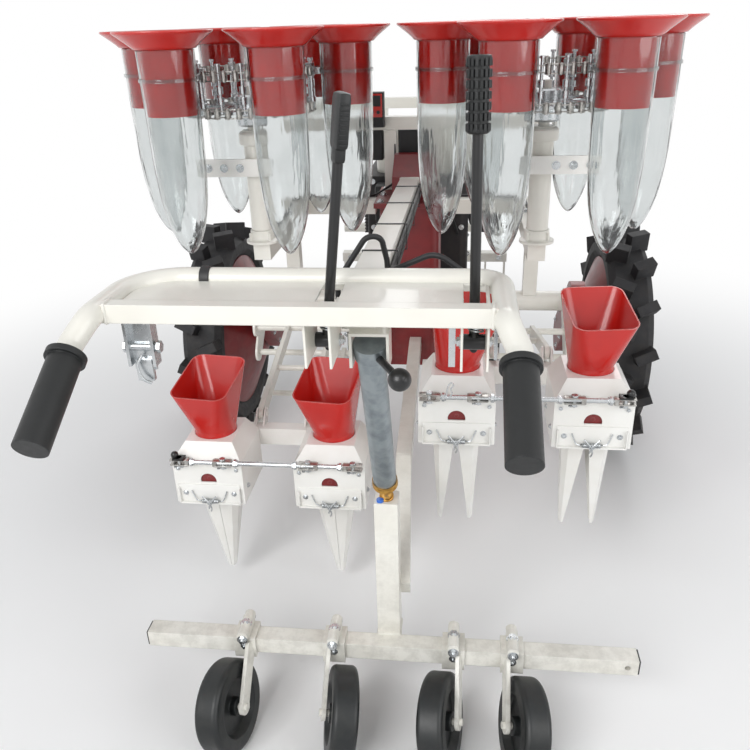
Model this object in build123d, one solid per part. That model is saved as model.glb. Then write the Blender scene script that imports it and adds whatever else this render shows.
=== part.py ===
from build123d import *
import os
from math import asin, atan2, cos, degrees, pi, radians, sin

# Walk-behind vegetable transplanter for four rows, in millimetres.
# X points right as the operator sees it, Y points forward, Z points up, and the ground is Z = 0.
# The origin is below the middle of the machine.

# Clearances
FACE_GAP = 0.3
RUNNING_GAP = 0.05
SHEET = 3.0

# Drive wheels at the front of the chassis
DRIVE_TRACK = 1150.0
DRIVE_AXLE_Y = 410.0
DRIVE_OUTER_R = 325.0
DRIVE_TYRE_WIDTH = 110.0
LUG_HEIGHT = 42.0
LUG_COUNT = 16
LUG_THICKNESS = 26.0
CARCASS_DEPTH = 56.0
RIM_SHEET = 8.0
RIM_DISH = 62.0
HUB_R = 38.0
AXLE_R = 15.0
CHAIN_CASE_X = 432.0
CHAIN_CASE_WIDTH = 36.0
CHAIN_CASE_R = 52.0

# Cross tube, gearbox and rails
CROSS_TUBE_Y = 205.0
CROSS_TUBE_Z = 500.0
CROSS_TUBE_R = 26.0
GEARBOX_WIDTH = 150.0
GEARBOX_LENGTH = 190.0
GEARBOX_BOTTOM = 330.0
GEARBOX_TOP = 770.0
HOOD_HALF = 44.0
HOOD_REAR_Y = 190.0
HOOD_FRONT_Y = 300.0
HOOD_LOW_RISE = 56.0
HOOD_HIGH_RISE = 98.0
RAIL_SECTION = 40.0
RAIL_X = 130.0
RAIL_Z = 450.0
RAIL_FRONT_Y = 1010.0

# Main beam from the gearbox back to the handlebar
BEAM_SECTION = 45.0
BEAM_FRONT_Y = 215.0
BEAM_FRONT_Z = 800.0
BEAM_REAR_Y = -800.0
BEAM_REAR_Z = 840.0

# Guide wheels and bumper at the front
GUIDE_X = 250.0
GUIDE_Y = 905.0
GUIDE_R = 110.0
GUIDE_WIDTH = 50.0
FORK_SHEET = 6.0
BUMPER_R = 17.0
BUMPER_Y = 1030.0
BUMPER_X = 300.0
STRUT_R = 13.5
STRUT_LENGTH = 60.0

# Engine group
ENGINE_WIDTH = 300.0
ENGINE_LENGTH = 290.0
ENGINE_HEIGHT = 300.0
ENGINE_Y = 650.0
TANK_LENGTH = 190.0
TANK_WIDTH = 250.0
TANK_HEIGHT = 130.0
SILENCER_R = 48.0
SILENCER_LENGTH = 190.0
RACK_SECTION = 32.0
RACK_Y = 330.0
RACK_TOP_Z = 955.0
RACK_HALF = 330.0
RACK_POST_X = 58.0
RACK_FRONT_Y = 850.0
CONTROL_DEPTH = 55.0
DISPLAY_WIDTH = 44.0
DISPLAY_HEIGHT = 62.0
DISPLAY_X = 92.0
DISPLAY_DEPTH = 30.0
DISPLAY_LAP = 22.0
CABLE_R = 4.0
CABLE_BEND = 30.0

def control_boxes():
    """The two black boxes below the rear bar of the rack and the small display box behind it."""
    half = RACK_SECTION / 2
    under = RACK_TOP_Z - RACK_SECTION
    boxes = []
    for x0, x1, drop in CONTROL_BOXES:
        box = block(x0, x1, RACK_Y - half, RACK_Y - half + CONTROL_DEPTH, under - drop, under)
        boxes.append(fillet(box.edges().filter_by(Axis.Z), 5))
    display = block(-DISPLAY_X - DISPLAY_WIDTH / 2, -DISPLAY_X + DISPLAY_WIDTH / 2,
                    RACK_Y - half - DISPLAY_DEPTH, RACK_Y - half,
                    RACK_TOP_Z - DISPLAY_LAP, RACK_TOP_Z + DISPLAY_HEIGHT)
    boxes.append(fillet(display.edges().filter_by(Axis.Z), 4))
    return group(boxes)


# Cup carousels
CAROUSEL_X = 280.0
CAROUSEL_Y = -200.0
CUP_CIRCLE_R = 190.0
CUP_COUNT = 6
CUP_RIM_Z = 1175.0
CUP_LIP_R = 84.0
CUP_FLARE_HEIGHT = 40.0
CUP_NECK_LENGTH = 95.0
CUP_R = 49.0
CUP_WALL = 2.5
CUP_LENGTH = 336.0
CUP_NECK_R = CUP_R - CUP_WALL - FACE_GAP
CUP_BAND_Z = 1098.0
CUP_BAND_HEIGHT = 14.0
SPROCKET_R = 118.0
SPROCKET_Z = 1035.0
SPROCKET_THICKNESS = 5.0
CHAIN_PITCH_R = 121.0
CHAIN_LINKS = 36
PIN_R = 4.0
THIN_PIN_R = 3.0
PIN_TALL = 62.0
STAND_COLUMN_R = 21.0
STAND_DECK_Z = 752.0
STAND_SECTION = 35.0
STAND_POST_X = 310.0
SPINDLE_R = 10.0

# Planters
ROW_SPACING = 257.0
PLANTER_Y = -345.0
PLANTER_LIFT = 164.0
PLANTER_LOW_Z = 40.0
JAW_LENGTH = 235.0
JAW_TOP_WIDTH = 47.0
JAW_TOP_DEPTH = 84.0
JAW_TIP = 9.0
JAW_WALL = 2.0
JAW_OPEN_DEG = 6.5
BOX_WIDTH = 148.0
BOX_DEPTH = 150.0
BOX_HEIGHT = 100.0
ROOF_RISE = 34.0
HOPPER_BOTTOM_R = 44.0
HOPPER_SQUARENESS = 1.02
HOPPER_WALL = 2.5
HOPPER_HEIGHT = 128.0
HOPPER_FOOT = 22.0
HOPPER_FORWARD = 16.0
HOPPER_CORNER_R = 24.0
HOPPER_WIDTH = 124.0
HOPPER_DEPTH = 150.0
HOPPER_TILT = 13.5
HOPPER_TOE = 7.0
HOPPER_LEAN = 8.0

# Lift linkage
LIFT_PIVOT_Y = 95.0
LIFT_ARM_LENGTH = 330.0
LIFT_LINK_SPACING = 70.0
LIFT_BAR_SECTION = 30.0
LIFT_BAR_DROP = 35.0
LIFT_PIN_R = 8.0
LIFT_ARM_WIDTH = 10.0
LIFT_ARM_INSET = 42.0
LIFT_LINK_INSET = 72.0

# Handlebar
HANDLE_X = -64.0
HANDLE_WIDTH = 496.0
HANDLE_TUBE_R = 15.0
HANDLE_REAR_Y = -880.0
HANDLE_FRONT_Y = -748.0
HANDLE_Z = 868.0
HANDLE_LEFT_BEND = 75.0
HANDLE_RIGHT_BEND = 35.0
CROSSBAR_HEIGHT = 24.0
CROSSBAR_WIDTH = 20.0
GRIP_R = 20.0
GRIP_LENGTH = 120.0
GRIP_DROP = 60.0
GRIP_END_Y = -1045.0
GRIP_SPLAY = 14.0
GRIP_START_Z = 836.0
PLATE_SHEET = 3.0

def beam_side(y, drop):
    """A point on the right side of the main beam, below its middle, for a cable that lies on it."""
    slope = (BEAM_REAR_Z - BEAM_FRONT_Z) / (BEAM_REAR_Y - BEAM_FRONT_Y)
    z = BEAM_FRONT_Z + slope * (y - BEAM_FRONT_Y)
    return BEAM_SECTION / 2 + CABLE_R + FACE_GAP, y, z - drop


def control_cables():
    """The black cables from the levers, over the handlebar and along the beam to the gearbox."""
    left, right = LEVERS
    low = HANDLE_Z - LEVER_DROP
    start_y = left[1] + 6
    rise_y = HANDLE_FRONT_Y + HANDLE_TUBE_R + CABLE_R + 10
    end_y = HOOD_REAR_Y - FACE_GAP
    bend = CABLE_BEND
    first = [(left[0], start_y, low - 14), (left[0], rise_y, low - 14), (left[0] + 2, rise_y, low + 48),
             (2, rise_y + 6, low + 108), (22, rise_y + 12, low + 108), (28, rise_y + 27, low + 70),
             beam_side(rise_y + 62, 12), beam_side(end_y, 12)]
    second = [(right[0], start_y, low - 14), (right[0], rise_y, low - 14), (right[0] - 2, rise_y, low + 52),
              (97, rise_y + 4, low + 88), (43, rise_y + 12, low + 62), beam_side(rise_y + 120, -6),
              beam_side(end_y, -6)]
    first_cable = bent_tube(first, (18, bend, 15, 15, 20, bend), CABLE_R)
    second_cable = bent_tube(second, (18, bend, bend, bend, bend), CABLE_R)
    return group([first_cable, second_cable])


# Depth screw and press wheels
SCREW_X = 15.0
POST_Y = -655.0
POST_SECTION = 40.0
POST_TOP_Z = 455.0
PRESS_BAR_SECTION = 32.0
PRESS_HOLE_R = 5.0
PRESS_HOLE_INSET = 18.0
PRESS_BAR_Z = 155.0
PRESS_BAR_Y = -690.0
PRESS_BAR_LEFT = -430.0
PRESS_BAR_RIGHT = 450.0
TRAIL_Z = 392.0
TRAIL_KNEE_Y = -400.0
TRAIL_KNEE_Z = 368.0
TRAIL_LOW_Z = 250.0
TRAIL_SHIFT = 22.0
TRAIL_WIDTH = 30.0
TRAIL_HEIGHT = 40.0
SCREW_TUBE_R = 19.0
SCREW_ROD_R = 9.0
SCREW_COLLAR = 22.0
SCREW_EAR = 4.0
SCREW_TUBE_BOTTOM_Z = 500.0
SCREW_TOP_Y = -800.0
SCREW_TOP_Z = 782.0
PRESS_R = 80.0
PRESS_WIDTH = 45.0
PRESS_AXLE_Y = -778.0
PRESS_TOE = 10.0
PRESS_CAMBER = 10.0
PRESS_EDGE = 9.0
PRESS_AXLE_R = 6.0
PRESS_ARM_SHEET = 7.0
# wheel name, wheel centre X, side of the wheel that the arm is on
PRESS_WHEELS = (
    ("press_wheel_1", -265.0, 1),
    ("press_wheel_2", -62.0, -1),
    ("press_wheel_3", 112.0, 1),
    ("press_wheel_4", 254.0, -1),
)

# Brackets below the crossbar: left, right, depth, rear and front behind the middle of the crossbar
BRACKETS = (
    (-279.0, -275.0, 58.0, -8.0, 10.0),
    (-247.0, -243.0, 58.0, -8.0, 10.0),
    (-275.0, -247.0, 66.0, 2.0, 5.0),
    (118.0, 126.0, 52.0, -4.0, 0.0),
    (171.0, 175.0, 40.0, -8.0, 10.0),
)

# Control boxes: left side, right side, depth below the rack
CONTROL_BOXES = (
    (-136.0, -78.0, 76.0),
    (-38.0, 34.0, 72.0),
)

# Levers: X, base Y, top X, top Y, top Z, grip length
LEVERS = (
    (-40.0, -815.0, -8.0, -800.0, 1108.0, 72.0),
    (149.0, -815.0, 146.0, -800.0, 1143.0, 83.0),
)
LEVER_R = 6.5
LEVER_DROP = 60.0
LEVER_PIVOT_HALF = 14.0
LEVER_GRIP_R = 15.0

# Outline of a clear cup: share of its length from the mouth, share of its radius
CUP_NOSE = (
    (0.0, 1.0),
    (0.55, 0.94),
    (0.70, 0.86),
    (0.80, 0.74),
    (0.88, 0.58),
    (0.94, 0.40),
    (0.98, 0.20),
    (1.0, 0.08),
)

os.makedirs("parts", exist_ok=True)


# Shared shapes

def block(x0, x1, y0, y1, z0, z1):
    """A block between two corners."""
    size = (x1 - x0, y1 - y0, z1 - z0)
    centre = ((x0 + x1) / 2, (y0 + y1) / 2, (z0 + z1) / 2)
    return Pos(*centre) * Box(*size)


def rod(start, end, radius):
    """A round bar between two points."""
    line = Vector(*end) - Vector(*start)
    place = Plane(origin=start, z_dir=line)
    return Solid.make_cylinder(radius, line.length, place)


def beam(start, end, width, height):
    """A square bar between two points, its width level."""
    line = Vector(*end) - Vector(*start)
    level = Vector(0, 0, 1).cross(line)
    if level.length < 1e-6:
        level = Vector(1, 0, 0)
    place = Plane(origin=start, x_dir=level, z_dir=line)
    return extrude(place * Rectangle(width, height), line.length)


def bent_tube(points, radii, radius):
    """A round tube along straight runs joined by arcs."""
    path = FilletPolyline(*points, radius=radii)
    return sweep(Plane(origin=path @ 0, z_dir=path % 0) * Circle(radius), path=path)


def racetrack(y0, z0, y1, z1, radius0, radius1, x0, x1):
    """A flat link with round ends, upright in the YZ plane."""
    angle = atan2(z1 - z0, y1 - y0)
    side = (-sin(angle), cos(angle))
    corners = (
        (y0 + side[0] * radius0, z0 + side[1] * radius0),
        (y1 + side[0] * radius1, z1 + side[1] * radius1),
        (y1 - side[0] * radius1, z1 - side[1] * radius1),
        (y0 - side[0] * radius0, z0 - side[1] * radius0),
    )
    place = Plane(origin=(x0, 0, 0), x_dir=(0, 1, 0), z_dir=(1, 0, 0))
    web = extrude(place * Polygon(*corners, align=None), x1 - x0, dir=(1, 0, 0))
    return web + pin_hole(y0, z0, radius0, x0, x1) + pin_hole(y1, z1, radius1, x0, x1)


def pin_hole(y, z, radius, x0, x1):
    """A round bar along X, used as a pin or as the hole for one."""
    return rod((x0, y, z), (x1, y, z), radius)


def write(shape, name):
    """Writes one piece."""
    export_step(shape, f"parts/{name}.step")


def group(shapes):
    """Like solids that don't touch, kept in one piece."""
    solids = []
    for shape in shapes:
        solids.extend(shape.solids())
    return Compound(children=solids)


# Main beam and chassis

def main_beam():
    """The square tube that joins the gearbox to the handlebar."""
    start = (0, BEAM_FRONT_Y, BEAM_FRONT_Z)
    end = (0, BEAM_REAR_Y, BEAM_REAR_Z)
    tube = beam(start, end, BEAM_SECTION, BEAM_SECTION)
    tube = tube - rod((-BEAM_SECTION, HANDLE_FRONT_Y, HANDLE_Z), (BEAM_SECTION, HANDLE_FRONT_Y, HANDLE_Z),
                      HANDLE_TUBE_R)
    reach = SCREW_TUBE_R + 3 + FACE_GAP
    y = SCREW_TOP_Y - 6
    top = BEAM_REAR_Z - BEAM_SECTION / 2 + 1
    for x in (SCREW_X - reach - SCREW_EAR, SCREW_X + reach):
        tube = tube + block(x, x + SCREW_EAR, y - 14, y + 20, SCREW_TOP_Z - 12, top)
    return tube + block(SCREW_X - reach - SCREW_EAR, SCREW_X + reach + SCREW_EAR, y - 14, y + 20,
                        top - SCREW_EAR, top)


def chassis_frame():
    """The cross tube, the rails to the front and the plates of the lift pivots."""
    half = RAIL_SECTION / 2
    case_face = CHAIN_CASE_X - CHAIN_CASE_WIDTH / 2
    gearbox_face = GEARBOX_WIDTH / 2
    frame = None
    for side in (-1, 1):
        tube = rod((side * gearbox_face, CROSS_TUBE_Y, CROSS_TUBE_Z),
                   (side * case_face, CROSS_TUBE_Y, CROSS_TUBE_Z), CROSS_TUBE_R)
        rail = block(side * RAIL_X - half, side * RAIL_X + half, CROSS_TUBE_Y - CROSS_TUBE_R,
                     RAIL_FRONT_Y, RAIL_Z - half, RAIL_Z + half)
        rail = rail + block(side * RAIL_X - half, side * RAIL_X + half, CROSS_TUBE_Y - half,
                            CROSS_TUBE_Y + half, RAIL_Z, CROSS_TUBE_Z)
        plates = []
        for x in (gearbox_face + SHEET * 2, case_face - SHEET * 4):
            plate = racetrack(LIFT_PIVOT_Y, LIFT_LOW_Z, CROSS_TUBE_Y, CROSS_TUBE_Z,
                              24, CROSS_TUBE_R + 8, side * x - SHEET, side * x + SHEET)
            plate += racetrack(LIFT_PIVOT_Y, LIFT_LOW_Z + LIFT_LINK_SPACING, CROSS_TUBE_Y,
                               CROSS_TUBE_Z, 24, CROSS_TUBE_R + 8, side * x - SHEET, side * x + SHEET)
            plates.append(plate)
        whole = tube + rail + plates[0] + plates[1]
        frame = whole if frame is None else frame + whole
    for z in (LIFT_LOW_Z, LIFT_LOW_Z + LIFT_LINK_SPACING):
        for side in (-1, 1):
            frame = frame + pin_hole(LIFT_PIVOT_Y, z, LIFT_PIN_R, side * (gearbox_face - SHEET),
                                     side * (case_face - SHEET * 2))
    for y in (RAIL_FRONT_Y - half, GUIDE_Y - 130):
        frame = frame + block(-RAIL_X, RAIL_X, y - half, y + half, RAIL_Z - half, RAIL_Z + half)
    return frame


LIFT_MID_Z = PLANTER_LOW_Z + JAW_LENGTH + BOX_HEIGHT - LIFT_BAR_DROP + PLANTER_LIFT / 2
LIFT_LOW_Z = LIFT_MID_Z - LIFT_LINK_SPACING / 2
LIFT_SWING = degrees(asin(PLANTER_LIFT / 2 / LIFT_ARM_LENGTH))


def gearbox():
    """The housing below the front end of the beam, with the lid that carries it."""
    half = GEARBOX_WIDTH / 2
    y0 = CROSS_TUBE_Y - GEARBOX_LENGTH / 2 + 45
    body = block(-half, half, y0, y0 + GEARBOX_LENGTH, GEARBOX_BOTTOM, GEARBOX_TOP - 12)
    body = fillet(body.edges().filter_by(Axis.Z), 22)
    lid = block(-half - 12, half + 12, y0 - 10, y0 + GEARBOX_LENGTH + 10, GEARBOX_TOP - 12, GEARBOX_TOP)
    outline = Polygon((HOOD_REAR_Y, GEARBOX_TOP - 2), (HOOD_FRONT_Y, GEARBOX_TOP - 2),
                      (HOOD_FRONT_Y, GEARBOX_TOP + HOOD_HIGH_RISE), (HOOD_FRONT_Y - 30, GEARBOX_TOP + HOOD_HIGH_RISE),
                      (HOOD_REAR_Y, GEARBOX_TOP + HOOD_LOW_RISE), align=None)
    place = Plane(origin=(-HOOD_HALF, 0, 0), x_dir=(0, 1, 0), z_dir=(1, 0, 0))
    hood = extrude(place * outline, HOOD_HALF * 2, dir=(1, 0, 0))
    return body + lid + (hood - main_beam())


def drive_axles():
    """The chain cases and the axle that each drive wheel turns on."""
    pieces = []
    for side in (-1, 1):
        x0 = side * CHAIN_CASE_X - CHAIN_CASE_WIDTH / 2
        case = racetrack(CROSS_TUBE_Y, CROSS_TUBE_Z, DRIVE_AXLE_Y, DRIVE_OUTER_R,
                         CHAIN_CASE_R, CHAIN_CASE_R, x0, x0 + CHAIN_CASE_WIDTH)
        start = side * (CHAIN_CASE_X + CHAIN_CASE_WIDTH / 2 - 1)
        end = side * (DRIVE_TRACK / 2 + 30)
        pieces.append(case + pin_hole(DRIVE_AXLE_Y, DRIVE_OUTER_R, AXLE_R, start, end))
    return group(pieces)


def drive_tyre(side):
    """A ribbed tyre: the carcass and two rows of slanting lugs."""
    half = DRIVE_TYRE_WIDTH / 2
    outer = DRIVE_OUTER_R - LUG_HEIGHT
    inner = outer - CARCASS_DEPTH
    section = Polygon((-half + 12, inner), (half - 12, inner), (half, inner + 18), (half, outer - 14),
                      (half - 16, outer), (-half + 16, outer), (-half, outer - 14), (-half, inner + 18),
                      align=None)
    carcass = revolve(Plane.XY * section, Axis.X)
    lugs = None
    for row in (-1, 1):
        for step in range(LUG_COUNT):
            angle = 360.0 / LUG_COUNT * (step + 0.25 * row + 0.25)
            lug = Pos(row * half * 0.52, 0, outer + LUG_HEIGHT / 2 - 5)
            lug = lug * Rot(0, 0, row * 24) * Box(half * 1.0, LUG_THICKNESS, LUG_HEIGHT + 10 - 1.5)
            lug = Rot(angle, 0, 0) * lug
            lugs = lug if lugs is None else lugs + lug
    tyre = carcass + lugs
    return Pos(side * DRIVE_TRACK / 2, DRIVE_AXLE_Y, DRIVE_OUTER_R) * tyre


def drive_rim(side):
    """A dished disc wheel whose cone points at the chain case."""
    half = DRIVE_TYRE_WIDTH / 2
    radius = DRIVE_OUTER_R - LUG_HEIGHT - CARCASS_DEPTH - FACE_GAP
    cone = half + RIM_DISH
    section = Polygon((-half + 8, radius), (half - 8, radius), (half - 8, radius - RIM_SHEET),
                      (-half + 8 + RIM_SHEET, radius - RIM_SHEET), (-cone + 6 + RIM_SHEET, HUB_R + 22),
                      (-cone + 6 + RIM_SHEET, AXLE_R + RUNNING_GAP), (-cone, AXLE_R + RUNNING_GAP),
                      (-cone, HUB_R + 16), align=None)
    dish = revolve(Plane.XY * section, Axis.X)
    hub = Rot(0, 90, 0) * (Cylinder(HUB_R, cone - 10) - Cylinder(AXLE_R + RUNNING_GAP, cone))
    rim = dish + Pos(-cone / 2 - 5 + 6, 0, 0) * hub
    if side < 0:
        rim = mirror(rim, Plane.YZ)
    return Pos(side * DRIVE_TRACK / 2, DRIVE_AXLE_Y, DRIVE_OUTER_R) * rim


# Front guide wheels, engine and rack

def guide_forks():
    """The bumper tube, the cross bar and the forks of the guide wheels."""
    bar_z = RAIL_Z - RAIL_SECTION / 2 - 15
    pieces = block(-GUIDE_X - 40, GUIDE_X + 40, GUIDE_Y - 20, GUIDE_Y + 20, bar_z - 15, bar_z + 15)
    for side in (-1, 1):
        for flank in (-1, 1):
            x = side * GUIDE_X + flank * (GUIDE_WIDTH / 2 + 8)
            pieces = pieces + racetrack(GUIDE_Y, GUIDE_R, GUIDE_Y, bar_z - 10, 18, 18,
                                        x - FORK_SHEET / 2, x + FORK_SHEET / 2)
        top = block(side * GUIDE_X - GUIDE_WIDTH / 2 - 8, side * GUIDE_X + GUIDE_WIDTH / 2 + 8,
                    GUIDE_Y - 18, GUIDE_Y + 18, GUIDE_R * 2 + 30, GUIDE_R * 2 + 42)
        axle = pin_hole(GUIDE_Y, GUIDE_R, 8, side * GUIDE_X - GUIDE_WIDTH / 2 - 18,
                        side * GUIDE_X + GUIDE_WIDTH / 2 + 18)
        pieces = pieces + top + axle
    return pieces


def guide_wheel(side):
    """A small smooth wheel."""
    tyre = Cylinder(GUIDE_R, GUIDE_WIDTH)
    tyre = fillet(tyre.edges().filter_by(GeomType.CIRCLE), 12)
    for face in (-1, 1):
        tyre -= Pos(0, 0, face * (GUIDE_WIDTH / 2)) * Cylinder(GUIDE_R - 34, 16)
    tyre += Cylinder(20, GUIDE_WIDTH + 6)
    tyre -= Cylinder(8 + RUNNING_GAP, GUIDE_WIDTH * 2)
    return Pos(side * GUIDE_X, GUIDE_Y, GUIDE_R) * Rot(0, 90, 0) * tyre


def bumper():
    """The tube across the front and the two struts that hold it on the rails."""
    z = RAIL_Z + RAIL_SECTION / 2 + BUMPER_R
    tube = rod((-BUMPER_X, BUMPER_Y, z), (BUMPER_X, BUMPER_Y, z), BUMPER_R)
    strut_z = RAIL_Z + RAIL_SECTION / 2 + STRUT_R
    for side in (-1, 1):
        tube = tube + rod((side * RAIL_X, RAIL_FRONT_Y - STRUT_LENGTH, strut_z),
                          (side * RAIL_X, BUMPER_Y, strut_z), STRUT_R)
    return tube


def engine():
    """The engine as one block with its cylinder head and fan cover."""
    base = RAIL_Z + RAIL_SECTION / 2
    half_x = ENGINE_WIDTH / 2
    half_y = ENGINE_LENGTH / 2
    body = block(-half_x, half_x, ENGINE_Y - half_y, ENGINE_Y + half_y, base, base + ENGINE_HEIGHT)
    body = fillet(body.edges().filter_by(Axis.Z), 25)
    cover = Pos(0, ENGINE_Y + half_y, base + ENGINE_HEIGHT * 0.5) * Rot(90, 0, 0)
    cover = cover * Cylinder(ENGINE_HEIGHT * 0.42, 50)
    return body + cover


def fuel_tank():
    """The domed tank on top of the engine."""
    base = RAIL_Z + RAIL_SECTION / 2 + ENGINE_HEIGHT
    tank = block(-TANK_WIDTH / 2, TANK_WIDTH / 2, ENGINE_Y - TANK_LENGTH / 2, ENGINE_Y + TANK_LENGTH / 2,
                 base, base + TANK_HEIGHT)
    tank = fillet(tank.edges().filter_by(Axis.Z), 40)
    tank = fillet(tank.faces().sort_by(Axis.Z)[-1].edges(), 30)
    cap = Pos(-70, ENGINE_Y, base + TANK_HEIGHT + 9) * Cylinder(27, 20)
    return tank + cap


def silencer():
    """The exhaust silencer beside the engine."""
    x = ENGINE_WIDTH / 2 + SILENCER_R
    can = Pos(x, ENGINE_Y, RAIL_Z + 190) * Rot(90, 0, 0) * Cylinder(SILENCER_R, SILENCER_LENGTH)
    return can


def seedling_rack():
    """The square-tube rack above the gearbox and the engine that trays of seedlings stand on."""
    half = RACK_SECTION / 2
    z0 = RACK_TOP_Z - RACK_SECTION
    rack = block(-RACK_HALF - half, RACK_HALF + half, RACK_Y - half, RACK_FRONT_Y + half, z0, RACK_TOP_Z)
    rack = rack - block(-RACK_HALF + half, RACK_HALF - half, RACK_Y + half, RACK_FRONT_Y - half,
                        z0 - 1, RACK_TOP_Z + 1)
    for side in (-1, 1):
        rear = side * RACK_POST_X
        rack = rack + block(rear - half, rear + half, RACK_Y - half, RACK_Y + half, GEARBOX_TOP, z0)
        front = side * RAIL_X
        rack = rack + block(front - half, front + half, RACK_FRONT_Y - half, RACK_FRONT_Y + half,
                            RAIL_Z + RAIL_SECTION / 2, z0)
    return rack


# Cup carousels

def carousel_stand():
    """The posts and arms that carry the two carousels above the planters."""
    half = STAND_SECTION / 2
    z0 = STAND_DECK_Z - half
    z1 = STAND_DECK_Z + half
    stand = block(-STAND_POST_X - half, STAND_POST_X + half, CROSS_TUBE_Y - half, CROSS_TUBE_Y + half, z0, z1)
    gearbox_gap = GEARBOX_WIDTH / 2 + 12 + FACE_GAP
    stand = stand - block(-gearbox_gap, gearbox_gap, CROSS_TUBE_Y - 200, CROSS_TUBE_Y + 200, z0 - 50, z1 + 50)
    for side in (-1, 1):
        post = block(side * STAND_POST_X - half, side * STAND_POST_X + half, CROSS_TUBE_Y - half,
                     CROSS_TUBE_Y + half, CROSS_TUBE_Z, z0)
        stand = stand + (post - pin_hole(CROSS_TUBE_Y, CROSS_TUBE_Z, CROSS_TUBE_R, -RACK_HALF * 2, RACK_HALF * 2))
        stand = stand + block(side * CAROUSEL_X - half, side * CAROUSEL_X + half, CAROUSEL_Y - half,
                              CROSS_TUBE_Y, z0, z1)
        column = Pos(side * CAROUSEL_X, CAROUSEL_Y, 0) * Cylinder(
            STAND_COLUMN_R, SPROCKET_Z - 42 - z1, align=(Align.CENTER, Align.CENTER, Align.MIN))
        stand = stand + Pos(0, 0, z1) * column
        spindle = Pos(side * CAROUSEL_X, CAROUSEL_Y, SPROCKET_Z - 42) * Cylinder(
            SPINDLE_R, 80, align=(Align.CENTER, Align.CENTER, Align.MIN))
        stand = stand + spindle
    return stand


def cup_angle(side, index):
    """The direction of a cup from the middle of its carousel, in degrees from the rear."""
    first = 30.0 if side < 0 else -25.0
    return first + index * 360.0 / CUP_COUNT


def cup_place(side, index):
    """The axis of one cup."""
    angle = radians(cup_angle(side, index))
    x = side * CAROUSEL_X + CUP_CIRCLE_R * sin(angle)
    y = CAROUSEL_Y - CUP_CIRCLE_R * cos(angle)
    return x, y


def cup_funnel():
    """The red mouth of a cup, with its rim at Z = 0."""
    t = CUP_WALL
    flare = -CUP_FLARE_HEIGHT
    end = flare - CUP_NECK_LENGTH
    lip = CUP_LIP_R
    neck = CUP_NECK_R
    section = Polygon((lip, 0), (lip, -6), (lip - t, -6), (neck + 6, flare), (neck, flare - 8),
                      (neck - 2, end), (neck - 2 - t, end), (neck - t, flare - 8),
                      (neck + 6 - t, flare + t * 0.5), (lip - t - 1, -t), (lip - t - 6, 0), align=None)
    return revolve(Plane.XZ * section, Axis.Z)


def bullet(radius, length):
    """A round bar with a blunt nose, its flat end at Z = 0."""
    outline = [(0, 0)]
    for depth, share in CUP_NOSE:
        outline.append((radius * share, -length * depth))
    outline.append((0, -length))
    return revolve(Plane.XZ * Polygon(*outline, align=None), Axis.Z)


def cup_shell():
    """The clear bullet-shaped cup below the funnel, its mouth at Z = 0."""
    hollow = Pos(0, 0, 0.01) * bullet(CUP_R - CUP_WALL, CUP_LENGTH - CUP_WALL)
    return bullet(CUP_R, CUP_LENGTH) - hollow


def carousel_cups(side):
    """The funnels and the clear cups of one carousel."""
    funnels = []
    shells = []
    funnel = cup_funnel()
    shell = cup_shell()
    for index in range(CUP_COUNT):
        x, y = cup_place(side, index)
        funnels.append(Pos(x, y, CUP_RIM_Z) * funnel)
        shells.append(Pos(x, y, CUP_RIM_Z - CUP_FLARE_HEIGHT - 9) * shell)
    return group(funnels), group(shells)


def carousel_wheel(side):
    """The sprocket, its chain with tall pins, and the band that holds each cup."""
    disc = Cylinder(SPROCKET_R, SPROCKET_THICKNESS)
    for step in range(6):
        hole = Rot(0, 0, 60 * step) * Pos(SPROCKET_R * 0.62, 0, 0) * Cylinder(24, 20)
        disc = disc - hole
    hub = Pos(0, 0, -5) * Cylinder(30, 60)
    wheel = disc + hub
    link = Box(2 * pi * CHAIN_PITCH_R / CHAIN_LINKS * 0.55, 12, 16)
    for step in range(CHAIN_LINKS):
        angle = 360.0 / CHAIN_LINKS * (step + 0.5)
        wheel = wheel + Rot(0, 0, angle) * Pos(0, CHAIN_PITCH_R, 0) * link
    chain = Cylinder(CHAIN_PITCH_R + 3, 9) - Cylinder(CHAIN_PITCH_R - 5, 9)
    band_z = CUP_BAND_Z - SPROCKET_Z
    wheel = wheel + chain + Pos(0, 0, band_z) * chain
    for step in range(CHAIN_LINKS // 2):
        angle = 720.0 / CHAIN_LINKS * step
        tall = Pos(0, CHAIN_PITCH_R, 0) * Cylinder(THIN_PIN_R, band_z + 24, align=(Align.CENTER, Align.CENTER, Align.MIN))
        roller = Pos(0, CHAIN_PITCH_R, band_z) * Cylinder(THIN_PIN_R * 2, 20)
        wheel = wheel + Rot(0, 0, angle) * (tall + roller)
    for index in range(CUP_COUNT):
        angle = radians(cup_angle(side, index))
        out = Vector(sin(angle), -cos(angle), 0)
        pin_centre = out * CHAIN_PITCH_R
        pin = Pos(pin_centre.X, pin_centre.Y, PIN_TALL / 2 + 5) * Cylinder(PIN_R + 2, PIN_TALL + 20)
        band_centre = out * CUP_CIRCLE_R
        ring = Cylinder(CUP_R + 3, CUP_BAND_HEIGHT) - Cylinder(CUP_R + FACE_GAP, CUP_BAND_HEIGHT * 2)
        ring = Pos(band_centre.X, band_centre.Y, band_z) * ring
        arm = Rot(0, 0, degrees(angle)) * block(-10, 10, -CUP_CIRCLE_R + CUP_R + 1, -CHAIN_PITCH_R + 3,
                                                band_z - 5, band_z + 5)
        wheel = wheel + pin + ring + arm
    wheel = wheel - Cylinder(SPINDLE_R + RUNNING_GAP, 400)
    return Pos(side * CAROUSEL_X, CAROUSEL_Y, SPROCKET_Z) * wheel


# Planters

PLANTER_ROWS = {-1: (-1.5 * ROW_SPACING, -0.5 * ROW_SPACING), 1: (0.5 * ROW_SPACING, 1.5 * ROW_SPACING)}


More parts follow.
